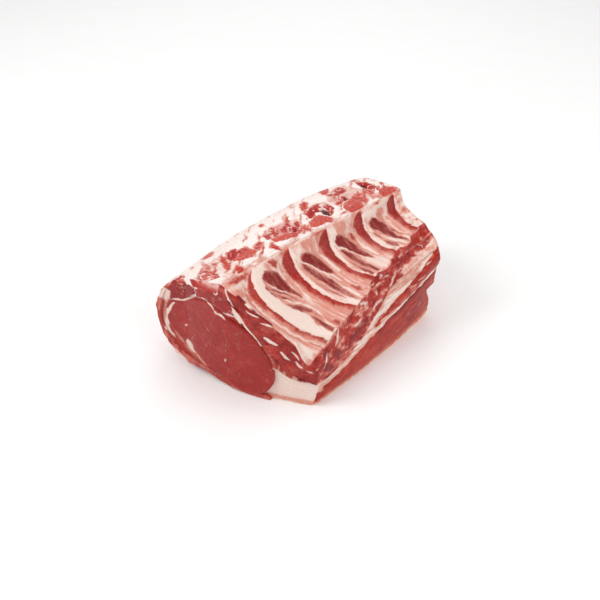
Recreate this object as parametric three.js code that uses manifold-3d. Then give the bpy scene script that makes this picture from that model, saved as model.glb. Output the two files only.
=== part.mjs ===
import * as THREE from 'three';
import { mergeVertices } from 'three/addons/utils/BufferGeometryUtils.js';
import Module from 'manifold-3d';

const wasm = await Module();
wasm.setup();

// A raw bone-in beef rib roast, lying on its fat cover with the ribs up. Millimetres, +Z up.
// The loin end, a clean cut through the eye muscle, faces -Y. The chine is at the top left, the
// sawn rib ends are on the right, at +X. A cross-section is drawn in X and Z, and the share of the
// way from the loin end (0) to the chuck end (1) is called along.

// Driving dimensions: the two end cuts, which aren't parallel.
const loinCutY = -76;
const loinCutLean = Math.tan(THREE.MathUtils.degToRad(14));
const loinCutEdgeX = 80;
const loinCutCrown = { depth: 12, middleX: 12, halfWidth: 72 };
const chuckCutY = 182;
const chuckCutLean = 0.42;
const chuckCutTurnX = 3;

// Corners of the cross-section: [x, z] at the loin end, half way and at the chuck end.
const ribSide = [
  [[-10, 131], [-9, 128], [3, 128]],
  [[1, 123], [-1, 117], [8, 118]],
  [[19, 111], [9, 106], [14, 111]],
  [[46, 92], [36, 95], [36, 107]],
  [[68, 73], [58, 92], [53, 107]],
  [[82, 64], [72, 90], [66, 106]],
];
const outerSide = [
  ribSide[5],
  [[87, 46], [84, 62], [85, 86]],
  [[84, 25], [86, 30], [81, 50]],
  [[78, 0], [81, 0], [75, 0]],
  [[62, 0], [62, 0], [60, 0]],
  [[20, 0], [10, 0], [10, 0]],
  [[-25, 6], [-25, 0], [-25, 0]],
  [[-62, 9], [-60, 6], [-56, 6]],
  [[-84, 22], [-80, 20], [-74, 20]],
  [[-97, 48], [-93, 46], [-84, 46]],
  [[-98, 76], [-95, 82], [-84, 76]],
  [[-87, 101], [-86, 114], [-76, 106]],
  [[-62, 118], [-62, 133], [-54, 125]],
  [[-36, 125], [-34, 131], [-26, 128]],
  ribSide[0],
];
const sectionMiddle = { x: -10, z: 58 };

// Ribs: where each one's front foot leaves the chine, how far it swings forward from there, and
// how wide the steep wall of meat in front of it is, as shares of the length.
const footAtChine = [0.16, 0.345, 0.56, 0.755, 0.95];
const footSwing = [0.135, 0.1, 0.1, 0.085, 0.085];
const wallWidth = [0.045, 0.065, 0.06, 0.06, 0.075];
const boneWidth = 0.095;
const boneThickness = 10.5;
const crestRise = 3;
const footDrop = 4;
const upAcrossRibs = { x: 0.45, z: 0.89 };

// Vertebrae, sawn flat along the chine.
const vertebrae = [
  { along: 0.06, x: -33, halfWidth: 12, halfLength: 11 },
  { along: 0.21, x: -33, halfWidth: 14, halfLength: 15 },
  { along: 0.415, x: -29, halfWidth: 15, halfLength: 20 },
  { along: 0.61, x: -26, halfWidth: 14, halfLength: 19 },
  { along: 0.775, x: -27, halfWidth: 18, halfLength: 14 },
  { along: 0.935, x: -21, halfWidth: 19, halfLength: 12 },
];
const vertebraBottom = 120;
const vertebraTop = 145;
const vertebraSides = 14;
const vertebraSquareness = 0.7;

// Muscles as outlines of the cross-section: [x, z] at the loin end and at the chuck end, some with
// a place half way.
const eyeMuscle = [
  [[-86, 62], [-62, 66]], [[-74, 43], [-56, 48]], [[-48, 26], [-40, 32]], [[-15, 13], [-15, 22]],
  [[20, 2], [15, 16]], [[41, 22], [36, 26]], [[38, 52], [38, 48]], [[20, 78], [22, 68]],
  [[-8, 92], [0, 80]], [[-31, 101], [-22, 88]], [[-60, 93], [-42, 90]], [[-81, 84], [-56, 82]],
];
const spinalisMuscle = [
  [[-85, 94], [-75, 66]], [[-76, 109], [-70, 98]], [[-62, 114], [-52, 113]], [[-50, 113], [-32, 108]],
  [[-48, 106], [-30, 97]], [[-58, 97], [-46, 95]], [[-74, 89], [-61, 86]], [[-84, 88], [-67, 62]],
];
const multifidusMuscle = [
  [[-44, 104], [-28, 106]], [[-38, 114], [-24, 115]], [[-24, 116], [-14, 117]], [[-10, 123], [-2, 117]],
  [[-4, 117], [1, 110]], [[3, 103], [6, 98]], [[6, 94], [10, 84]], [[-14, 99], [-4, 86]],
  [[-32, 104], [-20, 94]],
];
const capLean = [
  [[79, 3.2], [-10, 3.2]], [[96, 3.2], [96, 3.2]], [[96, 12], [96, 44], [96, 60]],
  [[84, 11.5], [79, 40], [66, 55]], [[82, 9], [64, 24], [38, 32]], [[80, 6], [4, 12]],
];
const capLeanUpperStart = 0.44;
const capLeanUpper = [
  [[78, 47], [30, 44]], [[96, 48], [96, 68]], [[96, 54], [96, 97]], [[84, 53], [66, 88]],
  [[78, 49], [42, 64]],
];

// Layers.
const gap = 0.3;
const fatCoverThickness = 2.6;
const rimThickness = 7;
const meatUnderChine = 9;
const leastMeatUnderRibs = 15;
const wedgeSetBack = 0.018;
const overrun = 0.06;

const { smoothstep, lerp } = THREE.MathUtils;

// The Y of a point of the cross-section: between the crowned loin cut and the leaning chuck cut.
function lengthwise(x, along) {
  const crownShare = 1 - ((x - loinCutCrown.middleX) / loinCutCrown.halfWidth) ** 2;
  const crown = loinCutCrown.depth * Math.max(0, crownShare);
  const front = loinCutY + (x - loinCutEdgeX) * loinCutLean - crown;
  const back = chuckCutY - chuckCutLean * Math.max(0, x - chuckCutTurnX);
  return lerp(front, back, along);
}

function placed(point, along) {
  return new THREE.Vector3(point.x, lengthwise(point.x, along), point.z);
}

// One corner at a share of the length: a straight line or, through three places, a parabola.
function cornerAt(places, along) {
  const [first, second, third] = places;
  const mix = (i) => {
    if (!third) return lerp(first[i], second[i], along);
    const rise = 4 * second[i] - 3 * first[i] - third[i];
    return first[i] + rise * along + (2 * first[i] - 4 * second[i] + 2 * third[i]) * along ** 2;
  };
  return new THREE.Vector3(mix(0), 0, mix(1));
}

function curveAt(corners, along, closed) {
  const points = corners.map((places) => cornerAt(places, along));
  return new THREE.CatmullRomCurve3(points, closed, 'catmullrom', 0.5);
}

// Front foot, front crest and back edge of a rib, at a share of the way from chine to rib end.
function ribFoot(rib, across) {
  if (rib === 0) return 0;
  const swing = footSwing[rib - 1] * (1 - Math.exp(-across / 0.14));
  return footAtChine[rib - 1] - swing + 0.07 * across ** 3;
}

function ribCrest(rib, across) {
  if (rib === 0) return 0;
  const opening = (1 - Math.exp(-across / 0.12)) * (1 - 0.5 * across);
  return ribFoot(rib, across) + 0.006 + wallWidth[rib - 1] * opening;
}

function ribBackEdge(rib, across) {
  const ribs = footAtChine.length;
  if (rib === 0) return ribFoot(1, across) - 0.012;
  if (rib === ribs) return 1;
  return Math.min(ribCrest(rib, across) + boneWidth, ribFoot(rib + 1, across) - 0.02);
}

// The lines along which the surface is drawn follow the feet, crests and back edges of the ribs.
const ribTotal = footAtChine.length + 1;
const surfaceLines = [() => 0];
for (let rib = 0; rib < ribTotal; rib += 1) {
  const nextFoot = (across) => (rib === ribTotal - 1 ? 1 : ribFoot(rib + 1, across));
  if (rib > 0) surfaceLines.push((across) => ribCrest(rib, across));
  surfaceLines.push((across) => (ribCrest(rib, across) + ribBackEdge(rib, across)) / 2);
  if (rib > 0 && rib < ribTotal - 1) {
    surfaceLines.push((across) => ribBackEdge(rib, across));
  }
  surfaceLines.push(nextFoot);
}

// Height of the ribbed side over its smooth form: each rib rises in a steep wall and falls gently.
function ribRelief(across, along) {
  const fade = smoothstep(across, 0, 0.2);
  let height = -footDrop;
  for (let rib = 0; rib < ribTotal; rib += 1) {
    const crest = ribCrest(rib, across);
    const next = rib === ribTotal - 1 ? 1.12 : ribFoot(rib + 1, across);
    if (along >= crest - 1e-6 && along < next - 1e-6) {
      const fall = ((along - crest) / (next - crest)) ** 1.4;
      height = lerp(crestRise, -footDrop, fall);
    }
  }
  const corner = smoothstep(across, 0.8, 1) * (1 - smoothstep(along, 0, 0.06));
  return height * fade - 14 * corner;
}

function ribSidePoint(across, along, lift) {
  const point = curveAt(ribSide, along, false).getPointAt(across);
  point.x += upAcrossRibs.x * lift;
  point.z += upAcrossRibs.z * lift;
  return point;
}

// Solids.
function solidFrom(positions, triangles) {
  const mesh = new wasm.Mesh({
    numProp: 3,
    vertProperties: new Float32Array(positions),
    triVerts: new Uint32Array(triangles),
  });
  return new wasm.Manifold(mesh);
}

// A closed solid through a stack of rings of equal point count, the first and the last one filled.
function loft(rings) {
  const count = rings[0].length;
  const positions = rings.flat().flatMap((p) => [p.x, p.y, p.z]);
  const triangles = [];
  for (let r = 0; r + 1 < rings.length; r += 1) {
    for (let i = 0; i < count; i += 1) {
      const a = r * count + i;
      const b = r * count + ((i + 1) % count);
      triangles.push([a, b, b + count], [a, b + count, a + count]);
    }
  }
  const flat = (ring) => ring.map((p) => new THREE.Vector2(p.x, p.z));
  const fill = (ring, start, sameWay) => {
    const contour = flat(ring);
    const turn = Math.sign(THREE.ShapeUtils.area(contour));
    THREE.ShapeUtils.triangulateShape(contour, []).forEach((face) => {
      const faceTurn = Math.sign(THREE.ShapeUtils.area(face.map((i) => contour[i])));
      const [i, j, k] = face.map((index) => start + index);
      triangles.push((faceTurn === turn) === sameWay ? [i, j, k] : [i, k, j]);
    });
  };
  fill(rings[0], 0, false);
  fill(rings.at(-1), (rings.length - 1) * count, true);
  return solidFrom(positions, facingOut(positions, triangles).flat());
}

function facingOut(positions, triangles) {
  const corner = (i) => new THREE.Vector3().fromArray(positions, 3 * i);
  let volume = 0;
  triangles.forEach(([i, j, k]) => {
    volume += corner(i).dot(corner(j).cross(corner(k)));
  });
  return volume > 0 ? triangles : triangles.map(([i, j, k]) => [i, k, j]);
}

// The whole roast as one solid. Its rings follow the ribs across the rib side and even out round
// the rest of the section.
function wholeRoast() {
  const acrossSteps = [0, 0.05, 0.12, 0.21, 0.33, 0.47, 0.62, 0.78, 0.91, 1];
  const spans = outerSide.length - 1;
  const outerSteps = [1, 2, 3, 4, 5, 6, 7, 8, 9, 10, 10.5, 11, 11.5, 12, 12.5, 13, 13.5];
  const rings = surfaceLines.map((line, index) => {
    const even = index / (surfaceLines.length - 1);
    const ribPart = acrossSteps.map((across) => {
      const along = line(across);
      return placed(ribSidePoint(across, along, ribRelief(across, along)), along);
    });
    const outerPart = outerSteps.map((step) => {
      const fromRibEnd = Math.max(0, 1 - step / 3);
      const fromChine = Math.max(0, 1 - (spans - step) / 2.5);
      const along = even + (line(1) - even) * fromRibEnd + (line(0) - even) * fromChine;
      const point = curveAt(outerSide, along, false).getPoint(step / spans);
      point.z = Math.max(0, point.z);
      return placed(point, along);
    });
    return [...ribPart, ...outerPart];
  });
  const shrunk = (ring, share, along) => ring.map((p) => {
    const x = lerp(sectionMiddle.x, p.x, share);
    return new THREE.Vector3(x, lengthwise(x, along), lerp(sectionMiddle.z, p.z, share));
  });
  const first = rings[0];
  const last = rings.at(-1);
  return loft([shrunk(first, 0.3, 0), shrunk(first, 0.65, 0), ...rings, shrunk(last, 0.5, 1), shrunk(last, 0.15, 1)]);
}

// A ring of the cross-section, grown sideways by a little where room is cut for it. Each point
// moves to where its two edges meet once both have moved outwards.
function grownRing(points, grow) {
  const contour = points.map((p) => new THREE.Vector2(p.x, p.z));
  const turn = Math.sign(THREE.ShapeUtils.area(contour));
  const outward = (from, to) => {
    const edge = to.clone().sub(from).normalize();
    return new THREE.Vector2(turn * edge.y, -turn * edge.x);
  };
  return contour.map((p, i) => {
    const one = outward(contour.at(i - 1), p);
    const other = outward(p, contour[(i + 1) % contour.length]);
    const reach = grow / Math.max(0.15, 1 + one.dot(other));
    return new THREE.Vector3(p.x + (one.x + other.x) * reach, 0, p.y + (one.y + other.y) * reach);
  });
}

function muscle(corners, grow, stations = 5) {
  const rings = [];
  for (let i = 0; i < stations; i += 1) {
    const along = lerp(-overrun, 1 + overrun, i / (stations - 1));
    const ring = curveAt(corners, along, true).getPoints(corners.length * 2).slice(0, -1);
    rings.push(grownRing(ring, grow).map((p) => placed(p, along)));
  }
  return loft(rings);
}

// A flat muscle with straight edges, drawn at its own start and at the chuck end.
function flatMuscle(corners, grow, start, stations = 4) {
  const rings = [];
  for (let i = 0; i < stations; i += 1) {
    const share = i / (stations - 1);
    const along = lerp(start - grow / 270, 1 + overrun, share);
    const ring = corners.map((places) => cornerAt(places, share));
    rings.push(grownRing(ring, grow).map((p) => placed(p, along)));
  }
  return loft(rings);
}

// A rib: a curved bar let into the rib side, from near the chine out past the sawn ends.
function ribBar(rib, grow) {
  const edge = (grow + 0.5) / 270;
  const growAlong = grow / 270;
  const depth = rib === 0 ? 0.6 * boneThickness : boneThickness;
  const rings = [0.07, 0.13, 0.2, 0.3, 0.42, 0.56, 0.7, 0.84, 1, 1.15].map((reach) => {
    const across = Math.min(1, reach);
    const beyond = 110 * (reach - across);
    const start = Math.max(rib === 0 ? 0.004 : 0, ribCrest(rib, across));
    const end = rib === ribTotal - 1 ? 0.996 : ribBackEdge(rib, across);
    const corners = [
      [start - growAlong, 6], [(start + end) / 2, 6], [end + growAlong, 6],
      [end + growAlong, -depth * 0.7 - grow], [(start + end) / 2, -depth - grow],
      [start - growAlong, -depth * 0.7 - grow],
    ];
    return corners.map(([along, lift]) => {
      const point = ribSidePoint(across, along, lift);
      point.x += beyond + (reach < 0.1 ? -grow : 0);
      return placed(point, along);
    });
  });
  return loft(rings);
}

// A sawn vertebra: a block with a squarish oval outline, wider at the top.
function vertebraBlock({ along, x, halfWidth, halfLength }, grow) {
  const y = lengthwise(x, along);
  const swell = (value) => Math.sign(value) * Math.abs(value) ** vertebraSquareness;
  const ring = (z, share) => Array.from({ length: vertebraSides }, (_, i) => {
    const angle = (2 * Math.PI * i) / vertebraSides;
    const sideways = (halfWidth * share + grow) * swell(Math.cos(angle));
    const lengthways = (halfLength * share + grow) * swell(Math.sin(angle));
    return new THREE.Vector3(x + sideways, y + lengthways, z);
  });
  return loftUpward([ring(vertebraBottom - grow, 0.75), ring(vertebraTop, 1.1)]);
}

function loftUpward(rings) {
  const tipped = rings.map((ring) => ring.map((p) => new THREE.Vector3(p.x, -p.z, p.y)));
  return loft(tipped).rotate([-90, 0, 0]);
}

// The meat under and between the ribs: a layer that thins from the loin end to the chuck end.
function meatUnderRibs(grow) {
  const rings = [-overrun, 0, 0.1, 0.22, 0.36, 0.5, 0.64, 0.78, 0.9, 1, 1 + overrun].map((along) => {
    const ribEnd = ribSidePoint(1, along, 0);
    const seamHeight = lerp(31, 98, smoothstep(along, 0.05, 0.9));
    const depthAtEnd = Math.max(leastMeatUnderRibs, ribEnd.z - seamHeight);
    const steps = [0, 0.1, 0.22, 0.36, 0.52, 0.68, 0.84, 1];
    const top = steps.map((across) => ribSidePoint(across, along, 9));
    const bottom = steps.map((across) => {
      const depth = lerp(meatUnderChine, depthAtEnd, across ** 0.7);
      return ribSidePoint(across, along, -depth - grow);
    });
    const rightTop = new THREE.Vector3(ribEnd.x + 40, 0, ribEnd.z + 12);
    const rightBottom = new THREE.Vector3(ribEnd.x + 40, 0, ribEnd.z - depthAtEnd - grow);
    top[0].x -= grow;
    bottom[0].x -= grow;
    return [...top, rightTop, rightBottom, ...bottom.reverse()].map((p) => placed(p, along));
  });
  return loft(rings);
}

// A plain prism through the whole length, for the flat layers and for parting one fat from another.
function slab(corners, grow, from = -overrun, to = 1 + overrun, stations = 6) {
  const rings = [];
  for (let i = 0; i < stations; i += 1) {
    const along = lerp(from, to, i / (stations - 1));
    const ring = corners.map(([x, z]) => new THREE.Vector3(x, 0, z));
    rings.push(grownRing(ring, grow).map((p) => placed(p, along)));
  }
  return loft(rings);
}

// The section with its outside taken off, inside which the rim muscle has nothing.
function insideRim(thickness) {
  const rings = [];
  for (let i = 0; i < 9; i += 1) {
    const along = lerp(-overrun, 1 + overrun, i / 8);
    const corners = outerSide.slice(4, 13);
    const curve = curveAt(corners, along, false);
    const ring = [...curve.getPoints(16), new THREE.Vector3(40, 0, 150), new THREE.Vector3(90, 0, 20)];
    rings.push(grownRing(ring, -thickness).map((p) => placed(p, along)));
  }
  return loft(rings);
}

function joined(solids) {
  return solids.reduce((sum, solid) => sum.add(solid));
}

// The main piece of a cut solid. Loose scraps go to waste.
function mainPiece(solid) {
  const pieces = solid.decompose();
  return pieces.reduce((best, piece) => (piece.volume() > best.volume() ? piece : best));
}

const roast = wholeRoast();
const ribs = Array.from({ length: ribTotal }, (_, rib) => rib);
const ribRoom = joined(ribs.map((rib) => ribBar(rib, gap)));
const vertebraRoom = joined(vertebrae.map((bone) => vertebraBlock(bone, gap)));
const eyeRoom = muscle(eyeMuscle, gap);
const multifidusRoom = muscle(multifidusMuscle, gap);
const spinalisRoom = muscle(spinalisMuscle, gap);
const capLeanRoom = flatMuscle(capLean, gap, -overrun);
const capLeanUpperRoom = flatMuscle(capLeanUpper, gap, capLeanUpperStart);
const fatCoverCorners = [[-34, -5], [100, -5], [100, fatCoverThickness], [-34, fatCoverThickness]];
const fatCoverRoom = slab(fatCoverCorners, gap);
const wedgeFront = slab([[27, -8], [96, -8], [96, 27], [62, 31], [45, 42], [33, 34]], 0, -overrun, wedgeSetBack, 2);
const leftHalf = [[-130, -10], [30, -10], [30, 12], [-20, 60], [-74, 110], [-130, 130]];
const domeCorners = [[-130, 113], [-92, 107], [-60, 116], [-30, 124], [4, 119], [4, 150], [-130, 150]];
const chineRoom = joined([vertebraRoom, multifidusRoom, spinalisRoom]);

const nodes = {};
ribs.forEach((rib) => {
  nodes[`rib_${rib + 1}`] = ribBar(rib, 0).intersect(roast);
});
vertebrae.forEach((bone, i) => {
  nodes[`vertebra_${i + 1}`] = vertebraBlock(bone, 0).intersect(roast).subtract(ribRoom);
});
nodes.fat_cover = slab(fatCoverCorners, 0).intersect(roast).subtract(wedgeFront);
nodes.eye_muscle = muscle(eyeMuscle, 0).intersect(roast).subtract(fatCoverRoom);
const bones = ribRoom.add(vertebraRoom);
nodes.multifidus_muscle = muscle(multifidusMuscle, 0).intersect(roast).subtract(bones).subtract(eyeRoom);
nodes.spinalis_muscle = muscle(spinalisMuscle, 0).intersect(roast)
  .subtract(joined([eyeRoom, multifidusRoom, vertebraRoom]));
const lowRoom = eyeRoom.add(fatCoverRoom);
nodes.cap_lean = flatMuscle(capLean, 0, -overrun).intersect(roast).subtract(lowRoom).subtract(wedgeFront);
nodes.cap_lean_upper = flatMuscle(capLeanUpper, 0, capLeanUpperStart).intersect(roast)
  .subtract(lowRoom.add(capLeanRoom));
const leanRoom = joined([lowRoom, capLeanRoom, capLeanUpperRoom]);
nodes.rib_meat = meatUnderRibs(0).intersect(roast).subtract(joined([bones, leanRoom, multifidusRoom]));
const meatRoom = joined([meatUnderRibs(gap), bones, leanRoom, chineRoom]);
nodes.rim_muscle = slab(leftHalf, 0).intersect(roast).subtract(insideRim(rimThickness)).subtract(meatRoom);
const rimRoom = slab(leftHalf, gap).subtract(insideRim(rimThickness + gap));
nodes.back_fat = slab(domeCorners, 0).intersect(roast).subtract(meatRoom.add(rimRoom));
nodes.seam_fat = roast.subtract(joined([meatRoom, rimRoom, slab(domeCorners, gap), wedgeFront]));

const finishes = {
  rib: { color: 0xe9cdbb, roughness: 0.45 },
  vertebra: { color: 0xb23a30, roughness: 0.5 },
  fat: { color: 0xf0d6c8, roughness: 0.45 },
  cover: { color: 0xecc8a8, roughness: 0.5 },
  eye: { color: 0xa8443f, roughness: 0.5 },
  lean: { color: 0x9a3530, roughness: 0.5 },
};
const finishOf = (name) => {
  if (name.startsWith('rib_') && name !== 'rib_meat') return finishes.rib;
  if (name.startsWith('vertebra')) return finishes.vertebra;
  if (name === 'fat_cover') return finishes.cover;
  if (name.endsWith('fat')) return finishes.fat;
  return name === 'eye_muscle' ? finishes.eye : finishes.lean;
};

function meshOf(name, solid) {
  const { vertProperties, triVerts } = mainPiece(solid).getMesh();
  const geometry = new THREE.BufferGeometry();
  geometry.setAttribute('position', new THREE.BufferAttribute(new Float32Array(vertProperties), 3));
  geometry.setIndex(Array.from(triVerts));
  const merged = mergeVertices(geometry, 1e-4);
  const mesh = new THREE.Mesh(merged, new THREE.MeshStandardMaterial(finishOf(name)));
  mesh.name = name;
  return mesh;
}

const group = new THREE.Group();
Object.entries(nodes).forEach(([name, solid]) => group.add(meshOf(name, solid)));

// The origin is at the middle of the footprint.
const extent = new THREE.Box3().setFromObject(group);
const middle = extent.getCenter(new THREE.Vector3());
group.position.set(-middle.x, -middle.y, -extent.min.z);

export default group;
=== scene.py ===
import bpy
import numpy as np
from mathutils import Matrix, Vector


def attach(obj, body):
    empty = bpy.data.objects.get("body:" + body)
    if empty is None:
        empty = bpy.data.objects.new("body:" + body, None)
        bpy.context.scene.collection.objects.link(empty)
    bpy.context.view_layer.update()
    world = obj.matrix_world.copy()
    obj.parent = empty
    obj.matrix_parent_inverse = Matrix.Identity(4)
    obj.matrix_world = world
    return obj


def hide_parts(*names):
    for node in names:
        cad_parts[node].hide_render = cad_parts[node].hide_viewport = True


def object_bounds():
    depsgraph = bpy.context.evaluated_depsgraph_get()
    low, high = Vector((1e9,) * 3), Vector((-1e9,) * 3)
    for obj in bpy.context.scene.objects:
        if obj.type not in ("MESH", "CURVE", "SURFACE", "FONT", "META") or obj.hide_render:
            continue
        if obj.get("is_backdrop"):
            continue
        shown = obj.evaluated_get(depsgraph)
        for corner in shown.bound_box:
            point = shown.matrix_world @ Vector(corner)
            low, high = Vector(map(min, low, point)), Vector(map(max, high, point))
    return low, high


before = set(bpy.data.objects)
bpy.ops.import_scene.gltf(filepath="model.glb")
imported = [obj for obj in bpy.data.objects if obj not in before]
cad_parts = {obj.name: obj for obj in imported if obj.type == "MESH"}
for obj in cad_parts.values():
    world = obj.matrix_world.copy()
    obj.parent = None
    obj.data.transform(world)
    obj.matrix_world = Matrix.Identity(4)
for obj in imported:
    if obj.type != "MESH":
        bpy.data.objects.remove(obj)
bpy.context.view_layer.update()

# Seam fat: the soft pale fat in which all the muscles lie. It has the form of the whole roast, so
# the two end cuts and the outside are worked out here. Sizes are in millimetres on the roast's own
# axes: X to the rib ends, Z up, and Y along the backbone, whose share of the way is called along.
frame_shift = np.array([5.53, -30.81, 0.0])
loin_cut_y, loin_cut_edge_x = -76.0, 80.0
loin_cut_lean = np.tan(np.radians(14))
crown_depth, crown_middle, crown_half_width = 12.0, 12.0, 72.0
chuck_cut_y, chuck_cut_lean, chuck_cut_turn = 182.0, 0.42, 3.0
section_middle = np.array([-10.0, 58.0])
roast_length, side_step_width = 258.0, 28.0

# Corners of the outside's section, from the rib ends under the roast and up to the chine: [x, z]
# at the loin end, half way and at the chuck end.
outer_side = np.array([
    [[82, 64], [72, 90], [66, 106]],
    [[87, 46], [84, 62], [85, 86]],
    [[84, 25], [86, 30], [81, 50]],
    [[78, 0], [81, 0], [75, 0]],
    [[62, 0], [62, 0], [60, 0]],
    [[20, 0], [10, 0], [10, 0]],
    [[-25, 6], [-25, 0], [-25, 0]],
    [[-62, 9], [-60, 6], [-56, 6]],
    [[-84, 22], [-80, 20], [-74, 20]],
    [[-97, 48], [-93, 46], [-84, 46]],
    [[-98, 76], [-95, 82], [-84, 76]],
    [[-87, 101], [-86, 114], [-76, 106]],
    [[-62, 118], [-62, 133], [-54, 125]],
    [[-36, 125], [-34, 131], [-26, 128]],
    [[-10, 131], [-9, 128], [3, 128]],
], float)
outer_steps = len(outer_side) - 1


def smooth(value, low, high):
    """0 below low, 1 above high, and a smooth S between them."""
    share = np.clip((value - low) / (high - low), 0, 1)
    return share * share * (3 - 2 * share)


def lerp(first, second, share):
    """Straight mix of two values."""
    return first + (second - first) * share


def lengthwise(x, along):
    """Y on the section's column x: straight from the crowned loin cut to the slanting chuck cut."""
    crown = crown_depth * np.clip(1 - ((x - crown_middle) / crown_half_width) ** 2, 0, None)
    front = loin_cut_y + (x - loin_cut_edge_x) * loin_cut_lean - crown
    back = chuck_cut_y - chuck_cut_lean * np.clip(x - chuck_cut_turn, 0, None)
    return lerp(front, back, along)


def placed(section, along):
    """Points of the section, [x, z], set at a share of the roast's length."""
    x, z = section[..., 0], section[..., 1]
    return np.stack([x, lengthwise(x, along), z], -1)


def share_along(points):
    """Share of the roast's length at which points lie."""
    front, back = lengthwise(points[:, 0], 0), lengthwise(points[:, 0], 1)
    return (points[:, 1] - front) / (back - front)


def through_corners(corners, along, step, closed=False):
    """Uniform Catmull-Rom curve through the corners, counted in corners by step. Each corner
    itself runs along a parabola through its three places, or straight between two."""
    if corners.shape[1] == 2:
        corners = np.stack([corners[:, 0], corners.mean(1), corners[:, 1]], 1)
    if closed:
        padded = np.concatenate([corners[-1:], corners, corners[:2]])
    else:
        before, after = 2 * corners[:1] - corners[1:2], 2 * corners[-1:] - corners[-2:-1]
        padded = np.concatenate([before, corners, after])
    step, along = np.broadcast_arrays(step, along)
    first = np.clip(np.floor(step).astype(int), 0, len(padded) - 4)
    t = (step - first)[..., None]
    a = along[..., None]

    def corner(number):
        low, middle, high = np.moveaxis(padded[number], -2, 0)
        return low + (4 * middle - 3 * low - high) * a + (2 * low - 4 * middle + 2 * high) * a * a

    p, q, r, s = (corner(first + i) for i in range(4))
    start, end = (r - p) / 2, (s - q) / 2
    return (2 * (q - r) + start + end) * t ** 3 + (3 * (r - q) - 2 * start - end) * t * t + start * t + q


def outer_point(step, along, inset=0.0):
    """Place on the outside, from the rib ends under the roast and up to the chine, moved inwards
    on the line to the section's middle by the inset."""
    section = through_corners(outer_side, along, step)
    inwards = section_middle - section
    inwards /= np.linalg.norm(inwards, axis=-1, keepdims=True)
    section = section + inwards * np.asarray(inset)[..., None]
    section[..., 1] = np.maximum(section[..., 1], 0)
    return placed(section, along)


def ripple(points, size, seed=0):
    """Smooth noise from -1 to 1: fixed random values on a lattice of this size, blended by a
    fifth-power S along each axis."""
    place = points / size + 31.7 * seed
    cell = np.floor(place).astype(np.int64)
    t = place - cell
    t = t ** 3 * (t * (6 * t - 15) + 10)
    total = np.zeros(points.shape[:-1])
    for corner in np.ndindex((2,) * points.shape[-1]):
        key = ((cell + corner) * [73856093, 19349663, 83492791][:points.shape[-1]]).sum(-1)
        key = (key ^ (key >> 13)) * 1274126177
        value = ((key ^ (key >> 16)) & 0xFFFF) / 32767.5 - 1
        total += value * np.prod(np.where(corner, t, 1 - t), -1)
    return total


def crumple(points, size, seed=0):
    """Three ripples on each other, each half as large and half as high as the one before."""
    return sum(ripple(points, size / 2 ** i, seed + i) / 2 ** i for i in range(3)) / 1.75


def stack_faces(rings, around):
    """Triangles of a stack of closed rings. The two points after the rings close its ends."""
    low = (np.arange(rings - 1) * around)[:, None] + np.arange(around)
    turn = (np.arange(rings - 1) * around)[:, None] + (np.arange(around) + 1) % around
    ahead, behind = np.arange(around), (np.arange(around) + 1) % around
    last = (rings - 1) * around
    ends = rings * around + np.zeros(around, int)
    parts = [
        [low, turn, turn + around], [low, turn + around, low + around],
        [behind, ahead, ends], [last + ahead, last + behind, ends + 1],
    ]
    return np.concatenate([np.stack(part, -1).reshape(-1, 3) for part in parts])


def stack_points(rings):
    """The points of a stack of rings, with the middle of its first and of its last ring."""
    ends = np.stack([rings[0].mean(0), rings[-1].mean(0)])
    return np.concatenate([rings.reshape(-1, 3), ends])


def facing_out(points, faces):
    """The same faces, turned over if the closed surface would hold a negative volume."""
    a, b, c = points[faces].transpose(1, 0, 2)
    return faces if (a * np.cross(b, c)).sum() > 0 else faces[:, ::-1]


def raised(points, faces, relief):
    """The points moved out by the relief, along the sum of the normals of the faces round each."""
    faces = facing_out(points, faces)
    a, b, c = points[faces].transpose(1, 0, 2)
    flat = np.cross(b - a, c - a)
    total = np.stack([
        sum(np.bincount(faces[:, corner], flat[:, axis], len(points)) for corner in range(3))
        for axis in range(3)
    ], -1)
    return points + total / np.maximum(np.linalg.norm(total, axis=1, keepdims=True), 1e-9) * relief[:, None]


def add_piece(name, points, faces, marks, finish, slot, *nodes):
    """Puts a closed surface into a mesh, in metres on the frame's axes, with its marks as
    attributes of the points, and lets the piece stand for its solids."""
    points = points + frame_shift
    points[:, 2] = np.maximum(points[:, 2], 0)
    mesh = bpy.data.meshes.new(name)
    mesh.from_pydata(points / 1000, [], facing_out(points, faces))
    mesh.shade_smooth()
    for mark, values in marks.items():
        layer = mesh.attributes.new(mark, "FLOAT", "POINT")
        layer.data.foreach_set("value", np.clip(values, 0, 1).astype(np.float32))
    mesh.materials.append(finish)
    piece = bpy.data.objects.new(name, mesh)
    bpy.context.scene.collection.objects.link(piece)
    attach(piece, "root")
    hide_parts(*nodes)


def patch(u, v, corners, soft=1.0):
    """1 inside an outline and 0 outside: the distance to its nearest edge, signed by the parity of
    the edges crossed, over the soft width of the border."""
    corners = np.array(corners, float)
    place = np.stack([u, v], -1)
    nearest = np.full(u.shape, 1e9)
    inside = np.zeros(u.shape, bool)
    for start, end in zip(corners, np.roll(corners, -1, 0)):
        edge = end - start
        share = np.clip(((place - start) @ edge) / (edge @ edge), 0, 1)
        away = np.linalg.norm(place - start - share[..., None] * edge, axis=-1)
        nearest = np.minimum(nearest, away)
        if start[1] != end[1]:
            crossing = (v >= min(start[1], end[1])) & (v < max(start[1], end[1]))
            inside ^= crossing & (u < start[0] + (v - start[1]) * edge[0] / edge[1])
    return np.clip(0.5 + np.where(inside, nearest, -nearest) / soft, 0, 1)


def notched(points, along):
    """The chuck end's lower right corner, which lies further forward than the lobe above it."""
    x, z = points[..., 0], points[..., 2]
    share = smooth(x, 52, 66) * smooth(-z, -45.5, -42) * smooth(along, 0.86, 0.985)
    points[..., 1] -= share * lerp(5, 14, smooth(z, 18, 40))
    return points


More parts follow.
